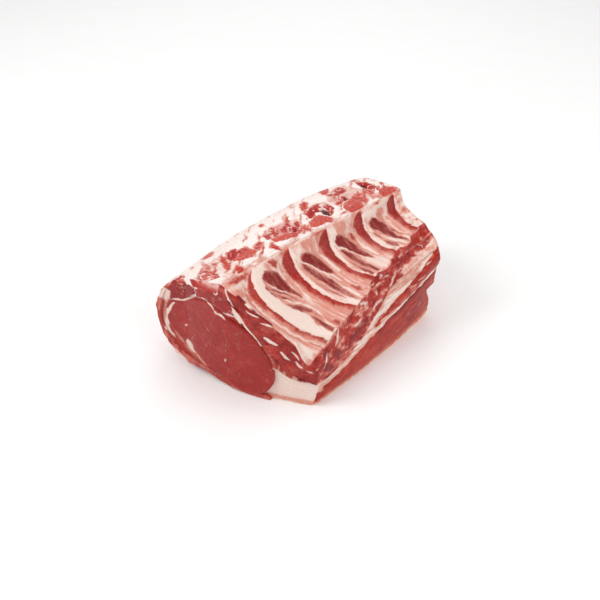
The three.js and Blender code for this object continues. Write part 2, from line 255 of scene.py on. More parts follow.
def streak(u, v, corners, width, soft=1.0):
    """1 along a bent line and 0 away from it. The line is widest at its middle and fades to
    a third of its width at the ends."""
    corners = np.array(corners, float)
    place = np.stack([u, v], -1)
    best = np.full(u.shape, -1e9)
    edges = len(corners) - 1
    for i in range(edges):
        edge = corners[i + 1] - corners[i]
        share = np.clip(((place - corners[i]) @ edge) / (edge @ edge), 0, 1)
        away = np.linalg.norm(place - corners[i] - share[..., None] * edge, axis=-1)
        middle = 1 - np.abs(2 * (i + share) / edges - 1)
        best = np.maximum(best, width / 2 * lerp(0.33, 1, np.sqrt(middle)) - away)
    return np.clip(0.5 + best / soft, 0, 1)


def patches_over(ground, u, v, outlines, soft, strength=1.0, scale=1.0):
    """The ground, or the strongest of some outlines where that is stronger."""
    for corners in outlines:
        ground = np.maximum(ground, strength * patch(u, v, np.array(corners, float) * scale, soft))
    return ground


def streaks_over(ground, u, v, lines, soft, strength=1.0, scale=1.0):
    """The ground, or the strongest of some bent lines, each given with its width."""
    for corners, width in lines:
        ground = np.maximum(ground, strength * streak(u, v, np.array(corners, float) * scale, width, soft))
    return ground


class Signal:
    """A shader socket in a sum: each operator adds the Math node that works it out."""

    def __init__(self, finish, socket):
        self.finish, self.socket = finish, socket

    def math(self, operation, first, second=0.0):
        return self.finish.node("ShaderNodeMath", {"operation": operation}, {0: first, 1: second})

    def __add__(self, other):
        return self.math("ADD", self, other)

    def __sub__(self, other):
        return self.math("SUBTRACT", self, other)

    def __rsub__(self, other):
        return self.math("SUBTRACT", other, self)

    def __mul__(self, other):
        return self.math("MULTIPLY", self, other)

    def __abs__(self):
        return self.math("ABSOLUTE", self)

    __radd__, __rmul__ = __add__, __mul__


class Finish:
    """A material being made, with its shader, and patterns in millimetres of the object."""

    def __init__(self, name, **constants):
        self.material = bpy.data.materials.new(name)
        self.material.use_nodes = True
        self.tree = self.material.node_tree
        self.shader = self.tree.nodes["Principled BSDF"]
        for socket, value in constants.items():
            self.shader.inputs[socket.replace("_", " ")].default_value = value
        self.place = self.node("ShaderNodeTexCoord", {}, {}, "Object")

    def node(self, kind, settings, values, output=0):
        """Adds a node: first its settings, then the values or links of its sockets."""
        node = self.tree.nodes.new(kind)
        for setting, value in settings.items():
            setattr(node, setting, value)
        for socket, value in values.items():
            if isinstance(value, Signal):
                self.tree.links.new(value.socket, node.inputs[socket])
            else:
                node.inputs[socket].default_value = value
        return Signal(self, node.outputs[output])

    def scaled(self, stretch):
        """The place in millimetres, divided by a stretch along each axis."""
        scale = [1000 / length for length in stretch]
        return self.node("ShaderNodeMapping", {}, {"Vector": self.place, "Scale": scale})

    def noise(self, size, detail=2.0, roughness=0.5, stretch=(1, 1, 1)):
        """Cloudy noise about 0.5, with lumps of this size in millimetres."""
        values = {"Vector": self.scaled(stretch), "Scale": 1 / size, "Detail": detail, "Roughness": roughness}
        return self.node("ShaderNodeTexNoise", {}, values)

    def cells(self, size, stretch=(1, 1, 1), feature="DISTANCE_TO_EDGE"):
        """Distance, in cells, to the edges of cells of this size in millimetres, or with F1 to
        their middles."""
        values = {"Vector": self.scaled(stretch), "Scale": 1 / size}
        return self.node("ShaderNodeTexVoronoi", {"feature": feature}, values)

    def mark(self, name):
        """An attribute of the points of the mesh."""
        return self.node("ShaderNodeAttribute", {"attribute_name": name}, {}, "Fac")

    def step(self, value, low, high):
        """0 below low and 1 above high."""
        values = {"Value": value, "From Min": low, "From Max": high}
        return self.node("ShaderNodeMapRange", {"interpolation_type": "SMOOTHSTEP"}, values)

    def mix(self, share, first, second, blend="MIX"):
        """Mix of two colours."""
        settings = {"data_type": "RGBA", "blend_type": blend, "clamp_factor": True}
        return self.node("ShaderNodeMix", settings, {0: share, 6: first, 7: second}, 2)

    def feed(self, **inputs):
        """Links what changes over the surface to the shader."""
        for socket, value in inputs.items():
            self.tree.links.new(value.socket, self.shader.inputs[socket.replace("_", " ")])

    def bump(self, height, depth):
        """Normal of a height from 0 to 1 that rises by a depth in millimetres."""
        return self.node("ShaderNodeBump", {}, {"Height": height, "Distance": depth / 1000, "Strength": 1.0})


def tone(red, green, blue, sheen=0.034):
    """A colour given in screen values, from 0 to 255, as linear light. The sheen of the wet
    surface is taken off, because the shader adds it again."""
    share = np.array([red, green, blue]) / 255
    linear = np.where(share <= 0.04045, share / 12.92, ((share + 0.055) / 1.055) ** 2.4)
    return (*np.maximum(linear - sheen, 0.004).tolist(), 1.0)


def flesh(name, base, deep, blush, pale, grain=0.35, flecks=0.0, stretch=(1, 8, 1), wet=0.3, pits=0.0):
    """Raw meat or fat. Over the base colour lie cloudy deeper and paler parts, then the painted
    marks: blush, deep, pale and dark, each with its border broken up by noise. The bundles of fibres
    are stretched cells with soft borders, and fine threads along them darken and lighten it. The
    colours are screen values."""
    finish = Finish(name, Coat_Weight=wet, Coat_Roughness=0.2, IOR=1.4)
    base, deep, blush, pale = (tone(*color) for color in (base, deep, blush, pale))
    finish.shader.inputs["Specular IOR Level"].default_value = 0.3
    broken = finish.noise(3.4, 5, 0.7) - 0.5
    fine = finish.noise(1.1, 4, 0.65, stretch)
    cloud = finish.noise(17, 4, 0.65, (1, 2, 1))
    bundles = finish.cells(2.3, stretch)
    border = 1 - finish.step(bundles, 0.0, 0.2)
    color = finish.mix(finish.step(cloud, 0.35, 0.7) * 0.5, base, deep)
    color = finish.mix(finish.step(1 - cloud, 0.5, 0.75) * 0.35, color, blush)
    # The dark tint paints the shade inside the holes of the sawn bone, and a darker strip at the front edge of
    # the ribbed side.
    for mark, tint in (("blush", blush), ("deep", deep), ("pale", pale), ("dark", tone(88, 26, 20))):
        edge = finish.step(finish.mark(mark) + broken * 0.8 + (fine - 0.5) * 0.35, 0.1, 0.95)
        color = finish.mix(edge, color, tint)
    color = finish.mix(border * (grain * 0.7) * (1 - finish.mark("deep")), color, blush)
    threads = finish.step(fine, 0.32, 0.68)
    thread_color = finish.mix(threads, tone(70, 40, 40), tone(215, 205, 205))
    color = finish.mix(grain * 1.1, color, thread_color, "SOFT_LIGHT")
    if flecks:
        vein = 1 - finish.step(abs(finish.noise(11, 4, 0.6, (1, 1.6, 1)) - 0.5), 0.0, 0.02)
        vein = vein * finish.step(finish.noise(9, 2, 0.5), 0.5, 0.62)
        color = finish.mix(vein * flecks, color, pale)
    speck = finish.step(finish.noise(0.7, 2, 0.5), 0.64, 0.76)
    color = finish.mix(speck * 0.12, color, tone(255, 240, 235))
    height = border * -0.12 + fine * 0.5 + finish.noise(5, 3, 0.55) * 0.7
    if pits:
        hole = 1 - finish.step(finish.cells(2.6, (1, 1, 1), "F1"), 0.12, 0.34)
        height = height - hole * pits
    finish.feed(
        Base_Color=color,
        Roughness=0.3 + finish.noise(2.4, 2) * 0.24,
        Normal=finish.bump(height, 0.5),
    )
    return finish.material


# Corners of the ribbed side's section, from the chine to the rib ends, and the outlines and lines
# of the loin cut, as [x, z].
rib_side = np.array([
    [[-10, 131], [-9, 128], [3, 128]],
    [[1, 123], [-1, 117], [8, 118]],
    [[19, 111], [9, 106], [14, 111]],
    [[46, 92], [36, 95], [36, 107]],
    [[68, 73], [58, 92], [53, 107]],
    [[82, 64], [72, 90], [66, 106]],
], float)
under_ribs = np.array([2.2, 5.0])
wedge_outline = [(27, -8), (96, -8), (96, 27), (62, 31), (45, 42), (33, 34)]
wedge_cream = [(26, -8), (96, -8), (98, 34), (70, 31), (58, 34), (47, 41), (40, 44), (36, 30)]
wedge_set_back, fat_set_back, fat_end = 0.018, 0.005, 0.997
seam_stations, seam_cap = 230, 62
white_skins = [
    ([(-76, 83), (-84, 72), (-89, 58), (-89, 46), (-82, 38)], 5.0), ([(-94, 86), (-88, 94)], 8),
    ([(-79, 87), (-62, 92), (-52, 98), (-46, 104), (-47, 112)], 2.8), ([(-10, 96), (-3, 97), (6, 98)], 2.2),
    ([(-47, 103), (-33, 105), (-22, 99), (-17, 93)], 2.0), ([(-20, 96), (-12, 94), (-7, 90)], 2.8),
    ([(-4, 128), (-1, 116), (5, 104), (10, 95), (18, 87), (27, 78), (32, 71)], 3.6),
    ([(4, 105), (9, 97), (15, 90)], 6.5),
]
white_blobs = [
    [(-67, 34), (-62, 41), (-57, 36), (-54, 27), (-60, 23), (-65, 28)],
    [(-92, 92), (-87, 100), (-79, 97), (-81, 86), (-89, 83)],
]


def cut_lines(x, z):
    """Thin white skins between the muscles, as they show at the loin cut."""
    bent_x, bent_z = x + 0.7 * np.sin(z / 3.1 + x / 4.3), z + 0.7 * np.sin(x / 3.7)
    pale = streaks_over(0 * x, bent_x, bent_z, white_skins, 1.3)
    pale = patches_over(pale, x, z, white_blobs, 2.5)
    return streaks_over(pale, x, z, [([(31, 72), (38, 62), (43, 50), (45, 42)], 1.6)], 1.5, 0.4)


def wedge_front(section):
    """Share of the length by which the fat lies back from the loin cut: a little, and more at the
    wedge at its lower right."""
    in_wedge = patch(section[..., 0], section[..., 1], wedge_outline, 1.5)
    return fat_set_back + (wedge_set_back - fat_set_back) * in_wedge


def cap_shares(count):
    """Shares of the way from the rim of an end face to its middle, closer together at the rim."""
    return (np.arange(1, count + 1) / (count + 1)) ** 1.2


def with_ends(section, along, shares, start=None, end=1.0):
    """Rings through the sections, and before and after them the end faces: the first and the last
    ring, drawn in towards their middles by each share. Without a start the fat's front is taken."""
    front, back = (lerp(ring, ring.mean(0), shares[:, None, None]) for ring in (section[0], section[-1]))
    start = wedge_front(front) if start is None else start
    return np.concatenate([placed(front, start)[::-1], placed(section, along), placed(back, end)])


def seam_height(along):
    """Height at which the meat under the ribs ends at the rib ends: it climbs to the chuck end."""
    end = through_corners(outer_side, along, 0 * along)[..., 1]
    return np.minimum(lerp(31, 98, smooth(along, 0.05, 0.9)), end - 15)


def seam_fat():
    """Rings round the whole roast. Under the ribs they lie deeper, and elsewhere at the outside.
    Each end face is drawn in from its first ring, and the wedge's front lies a little back."""
    along = np.linspace(0, 1, seam_stations)[:, None]
    steps = np.concatenate([
        np.linspace(0, 3.1, 96), np.linspace(3.3, 11, 40), np.linspace(11.2, outer_steps, 14),
    ])
    rib_steps = np.linspace(0, len(rib_side) - 1, 16)[1:-1]
    inset = 0.4 + 0.8 * smooth(steps, 3, 3.3) + 2.0 * smooth(steps, 5.4, 6) + 2.0 * smooth(steps, 11, 11.4)
    sunk = through_corners(rib_side, along, rib_steps) - under_ribs
    above = through_corners(outer_side, along, np.minimum(steps, 3.0))[..., 1] - seam_height(along)
    outside = outer_point(steps, along, inset + lerp(4.0, 8.0, smooth(along, 0.5, 0.75)) * smooth(above, 1, 7))
    section = np.concatenate([outside[..., [0, 2]], sunk], 1)
    front = wedge_front(section[0])
    rings = with_ends(section, front + (fat_end - front) * along, cap_shares(seam_cap), end=fat_end)
    step = np.broadcast_to(np.concatenate([steps, rib_steps * 0 - 1]), rings.shape[:2])
    return rings, step


rings, step = seam_fat()
points, faces = stack_points(rings), stack_faces(*rings.shape[:2])
along = share_along(points)
step = np.append(step.ravel(), [-1, -1])
at_front = 1 - smooth(along, 0.003 + wedge_set_back, 0.008 + wedge_set_back)
x, z = points[:, 0], points[:, 2]
strands = ripple(points * [1, 0.08, 1], 2.6, 3) + 0.6 * ripple(points * [1, 0.16, 1], 1.3, 4)
on_side = (step >= 0) & (step < 3.1) & (at_front < 0.5)
lobes = crumple(points, 9, 5)
bare = 1 - smooth(z - seam_height(along), 0, 3)
relief = np.where(on_side, (0.6 * strands + 0.8 * lobes) * bare, 0.25 * lobes)
points = raised(points, faces, relief)
points = notched(points, along)
sunk_corner = 14 * smooth(x, 60, 76) * (1 - smooth(along, 0.0, 0.075)) * smooth(z, 39, 53)
sunk_corner += 7 * smooth(x, 42, 56) * smooth(along, 0.5, 0.72) * smooth(z - seam_height(along), 1, 9)
points -= sunk_corner[:, None] * [0.3, 0, 0.9]
u, v = along * roast_length, step * side_step_width + 2.0 * lobes
fine_strands = ripple(points * [1, 0.12, 1], 1.0, 9)
far_pale = [(95, 33), (125, 27), (150, 27), (180, 29), (215, 28), (240, 22)]
side_pale = streaks_over(0 * u, u, v, [(far_pale, 9)], 7, 0.95)
side_pale = streaks_over(side_pale, u, v, [([(126, 42), (165, 41.5), (205, 41.5), (250, 44)], 4.5)], 2)
side_pale = streaks_over(side_pale, u, v, [([(10, 52), (50, 49), (80, 42), (110, 36)], 9)], 7, 0.55)
side_pale = np.clip(side_pale + 0.8 * strands * smooth(along, 0.12, 0.3), 0, 1)
side_blush = np.clip(0.35 + 0.8 * fine_strands, 0, 1) * smooth(along, 0.0, 0.35) * (1 - side_pale * 0.7)
red_blush = [(30, 46), (70, 34), (112, 22), (124, 26), (84, 42), (48, 50)]
side_blush = patches_over(side_blush, u, v, [red_blush], 7, 0.8)
side_deep = np.clip(0.75 * fine_strands + 0.5 * strands - 0.42, 0, 1) * smooth(along, 0.3, 0.55)
red_corner = [(-5, 62), (6, 61), (16, 66), (10, 80), (-5, 84)]
side_deep = patches_over(side_deep * (1 - side_pale), u, v, [red_corner], 5, 0.5)
warp_x, warp_z = x + 0.8 * crumple(points, 5, 6), z + 0.8 * crumple(points, 5, 7)
cream = patches_over(cut_lines(x, z), warp_x, warp_z, [wedge_cream], 3)
foot_rim = (1 - smooth(z + 1.5 * crumple(points, 6, 8), 5, 9)) * (x > 24)
stripes = ripple(np.stack([0.12 * x, np.hypot(x + 22, 1.12 * (z - 58))], -1), 2.3, 15)
stripes = smooth(stripes + 0.4 * lobes, -0.1, 0.6)
front_deep = at_front * (1 - cream) * (1 - 0.8 * foot_rim) * (0.95 - 0.55 * stripes)
marks = {
    "pale": np.where(on_side, side_pale, at_front * cream * (0.8 + 0.2 * smooth(z, 72, 82) - 0.5 * foot_rim)),
    "blush": np.where(on_side, side_blush, at_front * (0.8 * foot_rim + 0.3 * (1 - cream))),
    "deep": np.where(on_side, side_deep, front_deep),
}
seam_finish = flesh(
    "soft_seam_fat", (232, 197, 180), (176, 70, 60), (218, 142, 124), (242, 224, 215),
    grain=0.25, stretch=(1, 6, 1), wet=0.25,
)
add_piece("seam_fat_body", points, faces, marks, seam_finish, "seam_fat", "seam_fat")

# Eye of rib: the large round muscle of the loin cut. It is one muscle that runs through to the
# chuck end, sliced square across, so its end faces show the bundles of fibres end on.
eye_muscle = np.array([
    [[-86, 62], [-62, 66]], [[-74, 43], [-56, 48]], [[-48, 26], [-40, 32]], [[-15, 13], [-15, 22]],
    [[20, 2], [15, 16]], [[41, 22], [36, 26]], [[38, 52], [38, 48]], [[20, 78], [22, 68]],
    [[-8, 92], [0, 80]], [[-31, 101], [-22, 88]], [[-60, 93], [-42, 90]], [[-81, 84], [-56, 82]],
], float)
rim_sunk = 0.6


def muscle(corners, around, cap, proud, roll, swell, seed):
    """A muscle through the whole roast: rings through its corners at stations along it, swollen
    from its middle at the cuts and slimmer inside, and end faces that stand proud of the fat,
    rounded as wide as the roll."""
    stations = np.array([0, 0.012, 0.04, 0.1, 0.5, 0.9, 0.96, 0.988, 1])[:, None]
    steps = np.linspace(0, len(corners), around, endpoint=False)
    section = through_corners(corners, stations, steps, closed=True)
    from_middle = section - section.mean(1, keepdims=True)
    section = section + from_middle * swell / np.linalg.norm(from_middle, axis=-1, keepdims=True)
    slim = smooth(stations, 0.0, 0.1) * smooth(-stations, -1.0, -0.9)
    section = section - 0.22 * slim[..., None] * from_middle
    section[..., 1] = np.maximum(section[..., 1], 1.2)
    shares = cap_shares(cap)
    rings = with_ends(section, stations, shares, 0.0)
    inner = np.concatenate([shares[::-1], np.zeros(len(stations)), shares])[:, None]
    radius = np.linalg.norm(section[0] - section[0].mean(0), axis=-1)
    border = np.clip(1 - inner * radius / roll, 0, 1)
    side = np.concatenate([-np.ones(cap), np.linspace(-1, 1, len(stations)), np.ones(cap)])[:, None]
    rings[..., 1] += side * (proud * (1 - border ** 2) - rim_sunk)
    points, faces = stack_points(rings), stack_faces(*rings.shape[:2])
    points[-2:, 1] += np.array([-1, 1]) * (proud - rim_sunk)
    cut = np.append(np.broadcast_to(np.abs(side) * (inner > 0), rings.shape[:2]).ravel(), [1, 1])
    relief = 0.45 * crumple(points, 14, seed) + 0.16 * ripple(points, 2.4, seed + 5)
    return raised(points, faces, relief * cut), faces


points, faces = muscle(eye_muscle, 236, 64, 1.6, 3.0, 1.6, 11)
x, z = points[:, 0] + 1.2 * ripple(points, 5, 1), points[:, 2] + 1.2 * ripple(points, 5, 2)
front = points[:, 1] < 0
thin_lines = [
    ([(-62, 65), (-56, 70), (-50, 73)], 0.9), ([(-58, 42), (-51, 50)], 1.2), ([(-38, 39), (-34, 49)], 1.0),
    ([(-8, 50), (-7, 62), (-9, 76)], 0.8), ([(-29, 66), (-33, 72)], 0.9),
]
bold_lines = [
    ([(-65, 58), (-61, 60)], 1.8), ([(-10, 35), (-8, 39)], 2.2), ([(-55, 27), (-44, 20)], 2.0),
    ([(-20, 93), (-18, 97)], 2.2),
]
pale = streaks_over(streaks_over(cut_lines(x, z), x, z, thin_lines, 1.8, 0.5), x, z, bold_lines, 1.8, 0.9)
halo = patch(x, z, [(-74, 38), (-60, 45), (-48, 34), (-40, 20), (-58, 22)], 14)
lower_rim = 1 - smooth(z - 0.0022 * (x - 8) ** 2, 3, 9)
marks = {
    "pale": pale * front,
    "blush": (0.42 * halo + 0.4 * lower_rim) * front,
    "deep": 0.3 * smooth(crumple(points, 30, 6), 0.0, 0.8),
}
eye_finish = flesh(
    "eye_of_rib_lean", (167, 60, 57), (150, 46, 46), (196, 98, 90), (238, 214, 203),
    grain=0.22, flecks=0.1, stretch=(1, 10, 1), wet=0.25,
)
add_piece("eye_of_rib", points, faces, marks, eye_finish, "eye_lean", "eye_muscle")

# Spinalis and multifidus: the small dark muscle over the left end of the eye, and the bright one
# between the eye and the backbone. Both run through the roast and are sliced with the eye.
spinalis_muscle = np.array([
    [[-85, 94], [-75, 66]], [[-76, 109], [-70, 98]], [[-62, 114], [-52, 113]], [[-50, 113], [-32, 108]],
    [[-48, 106], [-30, 97]], [[-58, 97], [-46, 95]], [[-74, 89], [-61, 86]], [[-84, 88], [-67, 62]],
], float)
multifidus_muscle = np.array([
    [[-44, 104], [-28, 106]], [[-38, 114], [-24, 115]], [[-24, 116], [-14, 117]], [[-10, 123], [-2, 117]],
    [[-4, 117], [1, 110]], [[3, 103], [6, 98]], [[6, 94], [10, 84]], [[-14, 99], [-4, 86]],
    [[-32, 104], [-20, 94]],
], float)
spinalis_finish = flesh(
    "spinalis_lean", (155, 44, 41), (132, 30, 29), (196, 88, 78), (236, 208, 198),
    grain=0.25, flecks=0.4, stretch=(1, 10, 1), wet=0.3,
)
multifidus_finish = flesh(
    "multifidus_lean", (162, 37, 33), (146, 28, 27), (200, 86, 76), (240, 214, 206),
    grain=0.25, flecks=0.3, stretch=(1, 10, 1), wet=0.3,
)
points, faces = muscle(spinalis_muscle, 120, 26, 1.3, 2.5, 1.3, 21)
marks = {
    "deep": 0.5 * smooth(crumple(points, 16, 7), -0.2, 0.6),
    "pale": cut_lines(points[:, 0], points[:, 2]) * (points[:, 1] < 0),
}
add_piece("spinalis", points, faces, marks, spinalis_finish, "dark_lean", "spinalis_muscle")
points, faces = muscle(multifidus_muscle, 130, 26, 1.3, 2.5, 1.2, 22)
x, z = points[:, 0], points[:, 2]
turn = np.radians(np.array([200, 240, 290, 340, 380, 410]))
ring = np.stack([-17 + 2.6 * np.cos(turn), 120 + 3.6 * np.sin(turn)], -1)
pale = streaks_over(cut_lines(x, z), x, z, [(ring, 1.6)], 1.0)
pale = streaks_over(pale, x, z, [([(-30, 103), (-20, 97), (-10, 98)], 1.6)], 1.4)
marks = {
    "pale": pale * (points[:, 1] < 0),
    "blush": 0.8 * streak(x, z, [(-34, 116), (-22, 119), (-13, 124)], 5, 4),
    "deep": 0.4 * smooth(crumple(points, 12, 8), 0, 0.6),
}
add_piece("multifidus", points, faces, marks, multifidus_finish, "dark_lean", "multifidus_muscle")

# Rib meat: the dark meat under and between the ribs. It shows at the loin cut and at the sawn rib
# ends, and on top as the hollows between the ribs, with their pale skins and dark strips.
table_size = 201
foot_at_chine = np.array([0.16, 0.345, 0.56, 0.755, 0.95])
foot_swing = np.array([0.135, 0.1, 0.1, 0.085, 0.085])
wall_width = np.array([0.045, 0.065, 0.06, 0.06, 0.075])
bone_width = 0.095
crest_rise, foot_drop, wall_drop = 3.0, 4.0, 2.6
up_across_ribs = np.array([0.45, 0.89])
rib_total = len(foot_at_chine) + 1
rib_side_width = 122.0
rib_side_columns, skirt_rings, below_rings = 124, 26, 16


def share_table():
    """For evenly spaced places along, the curve's step at evenly spaced shares of its length."""
    steps = np.linspace(0, len(rib_side) - 1, table_size)
    curve = through_corners(rib_side, np.linspace(0, 1, table_size)[:, None], steps)
    length = np.cumsum(np.linalg.norm(np.diff(curve, axis=1, prepend=curve[:, :1]), axis=2), 1)
    shares = np.linspace(0, 1, table_size)
    return np.array([np.interp(shares, row / row[-1], steps) for row in length])


step_of_share = share_table()


def table_value(along, across):
    """Value in the table of steps, straight between its four nearest entries."""
    row = np.clip(along, 0, 1) * (table_size - 1)
    column = np.clip(across, 0, 1) * (table_size - 1)
    i = np.clip(row.astype(int), 0, table_size - 2)
    j = np.clip(column.astype(int), 0, table_size - 2)
    low = lerp(step_of_share[i, j], step_of_share[i, j + 1], column - j)
    high = lerp(step_of_share[i + 1, j], step_of_share[i + 1, j + 1], column - j)
    return lerp(low, high, row - i)


def rib_foot(rib, across):
    """Front foot of a rib's wall: swings forward from the chine, fast at first, then runs straight."""
    if rib == 0:
        return across * 0
    swing = foot_swing[rib - 1] * (1 - np.exp(-across / 0.14))
    return foot_at_chine[rib - 1] - swing + 0.07 * across ** 3


def rib_crest(rib, across):
    """Crest of a rib: its foot and the width of its wall, which opens and then narrows again."""
    if rib == 0:
        return across * 0
    opening = (1 - np.exp(-across / 0.12)) * (1 - 0.5 * across)
    return rib_foot(rib, across) + 0.006 + wall_width[rib - 1] * opening


def rib_wall(rib, across):
    """Foot of the steep part of the wall: a little before the crest, further near the chine."""
    gap = lerp(0.045, 0.021, smooth(across, 0.08, 0.5))
    return np.maximum(rib_crest(rib, across) - gap, rib_foot(rib, across) + 0.002)


def rib_back_edge(rib, across):
    """Back edge of a rib's bone: a bone's width behind its crest, and before the next foot."""
    if rib == 0:
        return rib_foot(1, across) - 0.012
    if rib == rib_total - 1:
        return across * 0 + 0.996
    return np.minimum(rib_crest(rib, across) + bone_width, rib_foot(rib + 1, across) - 0.02)


def rib_lines(across, along):
    """Number of the rib to which a place belongs, its foot, steep wall, crest and next foot."""
    number = sum((along >= rib_foot(rib, across)).astype(int) for rib in range(1, rib_total))
    lines = rib_foot, rib_wall, rib_crest
    rows = [[line(rib, across) + 0 * along for rib in range(rib_total)] for line in lines]
    rows[1][0] = rows[1][0] * 0
    following = rows[0][1:] + [0 * along + 0 * across + 1.12]
    return number, *(np.choose(number, row) for row in (*rows, following))


def cut_edge(along):
    """Share across at which the pale skin ends and the sawn rib ends begin to round off."""
    return np.interp(
        along, [0, 0.48, 0.53, 0.58, 0.62, 0.67, 0.71, 0.77, 0.81, 0.86, 0.89, 0.95, 1],
        [1.03, 1.01, 0.94, 0.93, 0.975, 0.97, 0.91, 0.875, 0.935, 0.925, 0.84, 0.81, 0.82])


def ridge_lumps(across, along):
    """Lumps along the ridge where the chine meets the ribbed side."""
    place = np.stack([across * rib_side_width, along * roast_length], -1)
    return 0.9 * crumple(place, 8, 142) + 0.4 * ripple(place, 2.6, 143)


def rib_relief(across, along):
    """Height over the smooth form: almost level from foot to steep wall, up to the crest, and a
    gentle fall to the next foot. It fades out at the chine and rounds off at the rib ends."""
    _, foot, wall, crest, following = rib_lines(across, along)
    slow = np.clip((along - foot) / np.maximum(wall - foot, 1e-6), 0, 1)
    fast = np.clip((along - wall) / np.maximum(crest - wall, 1e-6), 0, 1)
    down = np.clip((along - crest) / (following - crest), 0, 1)
    level, steep = lerp(-foot_drop, -wall_drop, slow), lerp(-wall_drop, crest_rise, fast ** 1.25)
    falling = lerp(crest_rise, -foot_drop, down ** 1.4)
    height = np.where(along < crest, np.where(along < wall, level, steep), falling)
    height = height - 0.7 * np.exp(-((along - crest) * roast_length / 1.6) ** 2)
    corner = smooth(across, 0.8, 1) * (1 - smooth(along, 0, 0.06))
    ridge = 1.3 * (1 - smooth(across, 0, 0.035)) ** 2
    ridge = ridge - ridge_lumps(across, along) * (1 - smooth(across, 0.01, 0.09))
    past = smooth(across, cut_edge(along), cut_edge(along) + 0.2) * 6
    return height * smooth(across, -0.01, 0.18) - 14 * corner - ridge - past


def rib_side_point(across, along, lift):
    """Place on the ribbed side: at a share of its curve's length, lifted square to the ribs."""
    section = through_corners(rib_side, along, table_value(along, across))
    return placed(section + up_across_ribs * np.asarray(lift)[..., None], along)


# Strips that show behind each crest, as outlines over the share across and the share along.
dark_patches = [
    [(0.11, 0.19), (0.125, 0.165), (0.16, 0.153), (0.2, 0.152), (0.25, 0.163), (0.33, 0.185), (0.4, 0.217),
        (0.47, 0.23),
     (0.53, 0.25), (0.5, 0.257), (0.38, 0.246), (0.25, 0.25), (0.18, 0.242), (0.13, 0.218)],
    [(0.155, 0.4), (0.165, 0.372), (0.2, 0.357), (0.25, 0.368), (0.33, 0.397), (0.42, 0.42), (0.5, 0.44),
     (0.54, 0.467), (0.46, 0.468), (0.33, 0.465), (0.26, 0.453), (0.19, 0.43)],
    [(0.185, 0.6), (0.195, 0.575), (0.25, 0.558), (0.31, 0.563), (0.38, 0.585), (0.48, 0.61), (0.6, 0.636),
     (0.7, 0.662), (0.66, 0.67), (0.5, 0.665), (0.36, 0.652), (0.26, 0.635), (0.2, 0.617)],
    [(0.215, 0.797), (0.25, 0.774), (0.3, 0.765), (0.38, 0.777), (0.5, 0.8), (0.6, 0.812), (0.72, 0.838),
     (0.88, 0.862), (0.8, 0.872), (0.66, 0.852), (0.5, 0.855), (0.42, 0.858), (0.33, 0.85), (0.25, 0.825)],
]
grey_strips = [
    [(0.235, 0.143), (0.255, 0.132), (0.28, 0.134), (0.33, 0.158), (0.42, 0.195), (0.53, 0.21), (0.5, 0.219),
        (0.42, 0.21), (0.34, 0.185)],
    [(0.31, 0.137), (0.35, 0.133), (0.42, 0.15), (0.5, 0.18), (0.53, 0.2), (0.45, 0.187), (0.38, 0.165)],
    [(0.49, 0.147), (0.56, 0.154), (0.64, 0.172), (0.73, 0.208), (0.68, 0.222), (0.62, 0.213),
        (0.56, 0.185)],
    [(0.73, 0.182), (0.8, 0.166), (0.93, 0.158), (0.99, 0.158), (0.98, 0.19), (0.86, 0.196), (0.76, 0.198)],
    [(0.72, 0.208), (0.86, 0.21), (0.84, 0.221), (0.76, 0.223)],
    [(0.24, 0.36), (0.25, 0.35), (0.32, 0.343), (0.42, 0.352), (0.55, 0.365), (0.7, 0.371), (0.88, 0.374),
        (0.98, 0.388),
     (0.9, 0.4), (0.78, 0.408), (0.66, 0.42), (0.53, 0.415), (0.42, 0.396), (0.32, 0.378)],
    [(0.5, 0.336), (0.6, 0.333), (0.75, 0.343), (0.87, 0.362), (0.7, 0.358), (0.57, 0.352)],
    [(0.35, 0.555), (0.44, 0.557), (0.55, 0.563), (0.7, 0.57), (0.82, 0.574), (0.91, 0.583), (0.9, 0.605),
     (0.74, 0.61), (0.58, 0.605), (0.46, 0.595), (0.38, 0.572)],
    [(0.52, 0.545), (0.65, 0.54), (0.8, 0.542), (0.9, 0.552), (0.9, 0.57), (0.76, 0.565), (0.62, 0.56)],
    [(0.4, 0.752), (0.48, 0.755), (0.56, 0.77), (0.52, 0.778), (0.44, 0.77)],
    [(0.6, 0.768), (0.68, 0.76), (0.82, 0.772), (0.85, 0.79), (0.76, 0.795), (0.66, 0.788)],
    [(0.4, 0.858), (0.52, 0.857), (0.62, 0.868), (0.7, 0.888), (0.6, 0.88), (0.46, 0.87)],
]
white_lines = [
    ([(0.21, 0.15), (0.3, 0.172), (0.38, 0.202), (0.47, 0.225), (0.55, 0.238)], 1.9),
    ([(0.44, 0.158), (0.52, 0.19), (0.6, 0.217), (0.68, 0.232)], 3.0),
    ([(0.6, 0.23), (0.76, 0.232), (0.9, 0.2), (0.99, 0.202)], 3.0),
    ([(0.2, 0.352), (0.27, 0.372), (0.36, 0.396), (0.46, 0.42), (0.56, 0.443), (0.66, 0.45)], 3.2),
    ([(0.74, 0.42), (0.86, 0.418), (0.99, 0.41)], 6.0),
    ([(0.66, 0.475), (0.8, 0.472), (0.93, 0.48)], 3.2),
    ([(0.32, 0.566), (0.4, 0.59), (0.5, 0.612), (0.62, 0.632), (0.72, 0.65)], 2.6),
    ([(0.62, 0.806), (0.76, 0.818), (0.88, 0.83)], 6.0),
    ([(0.5, 0.78), (0.58, 0.79), (0.66, 0.798)], 2.0),
    ([(0.4, 0.278), (0.5, 0.272), (0.7, 0.278)], 1.6),
    ([(0.25, 0.476), (0.38, 0.484), (0.56, 0.488)], 4.2),
    ([(0.3, 0.678), (0.45, 0.682), (0.7, 0.7)], 3.2),
    ([(0.34, 0.884), (0.5, 0.882), (0.62, 0.887), (0.72, 0.9)], 2.6),
    ([(0.7, 0.87), (0.78, 0.885), (0.86, 0.885)], 5.0),
    ([(0.28, 0.052), (0.5, 0.047), (0.75, 0.062), (0.95, 0.092)], 2.4),
]
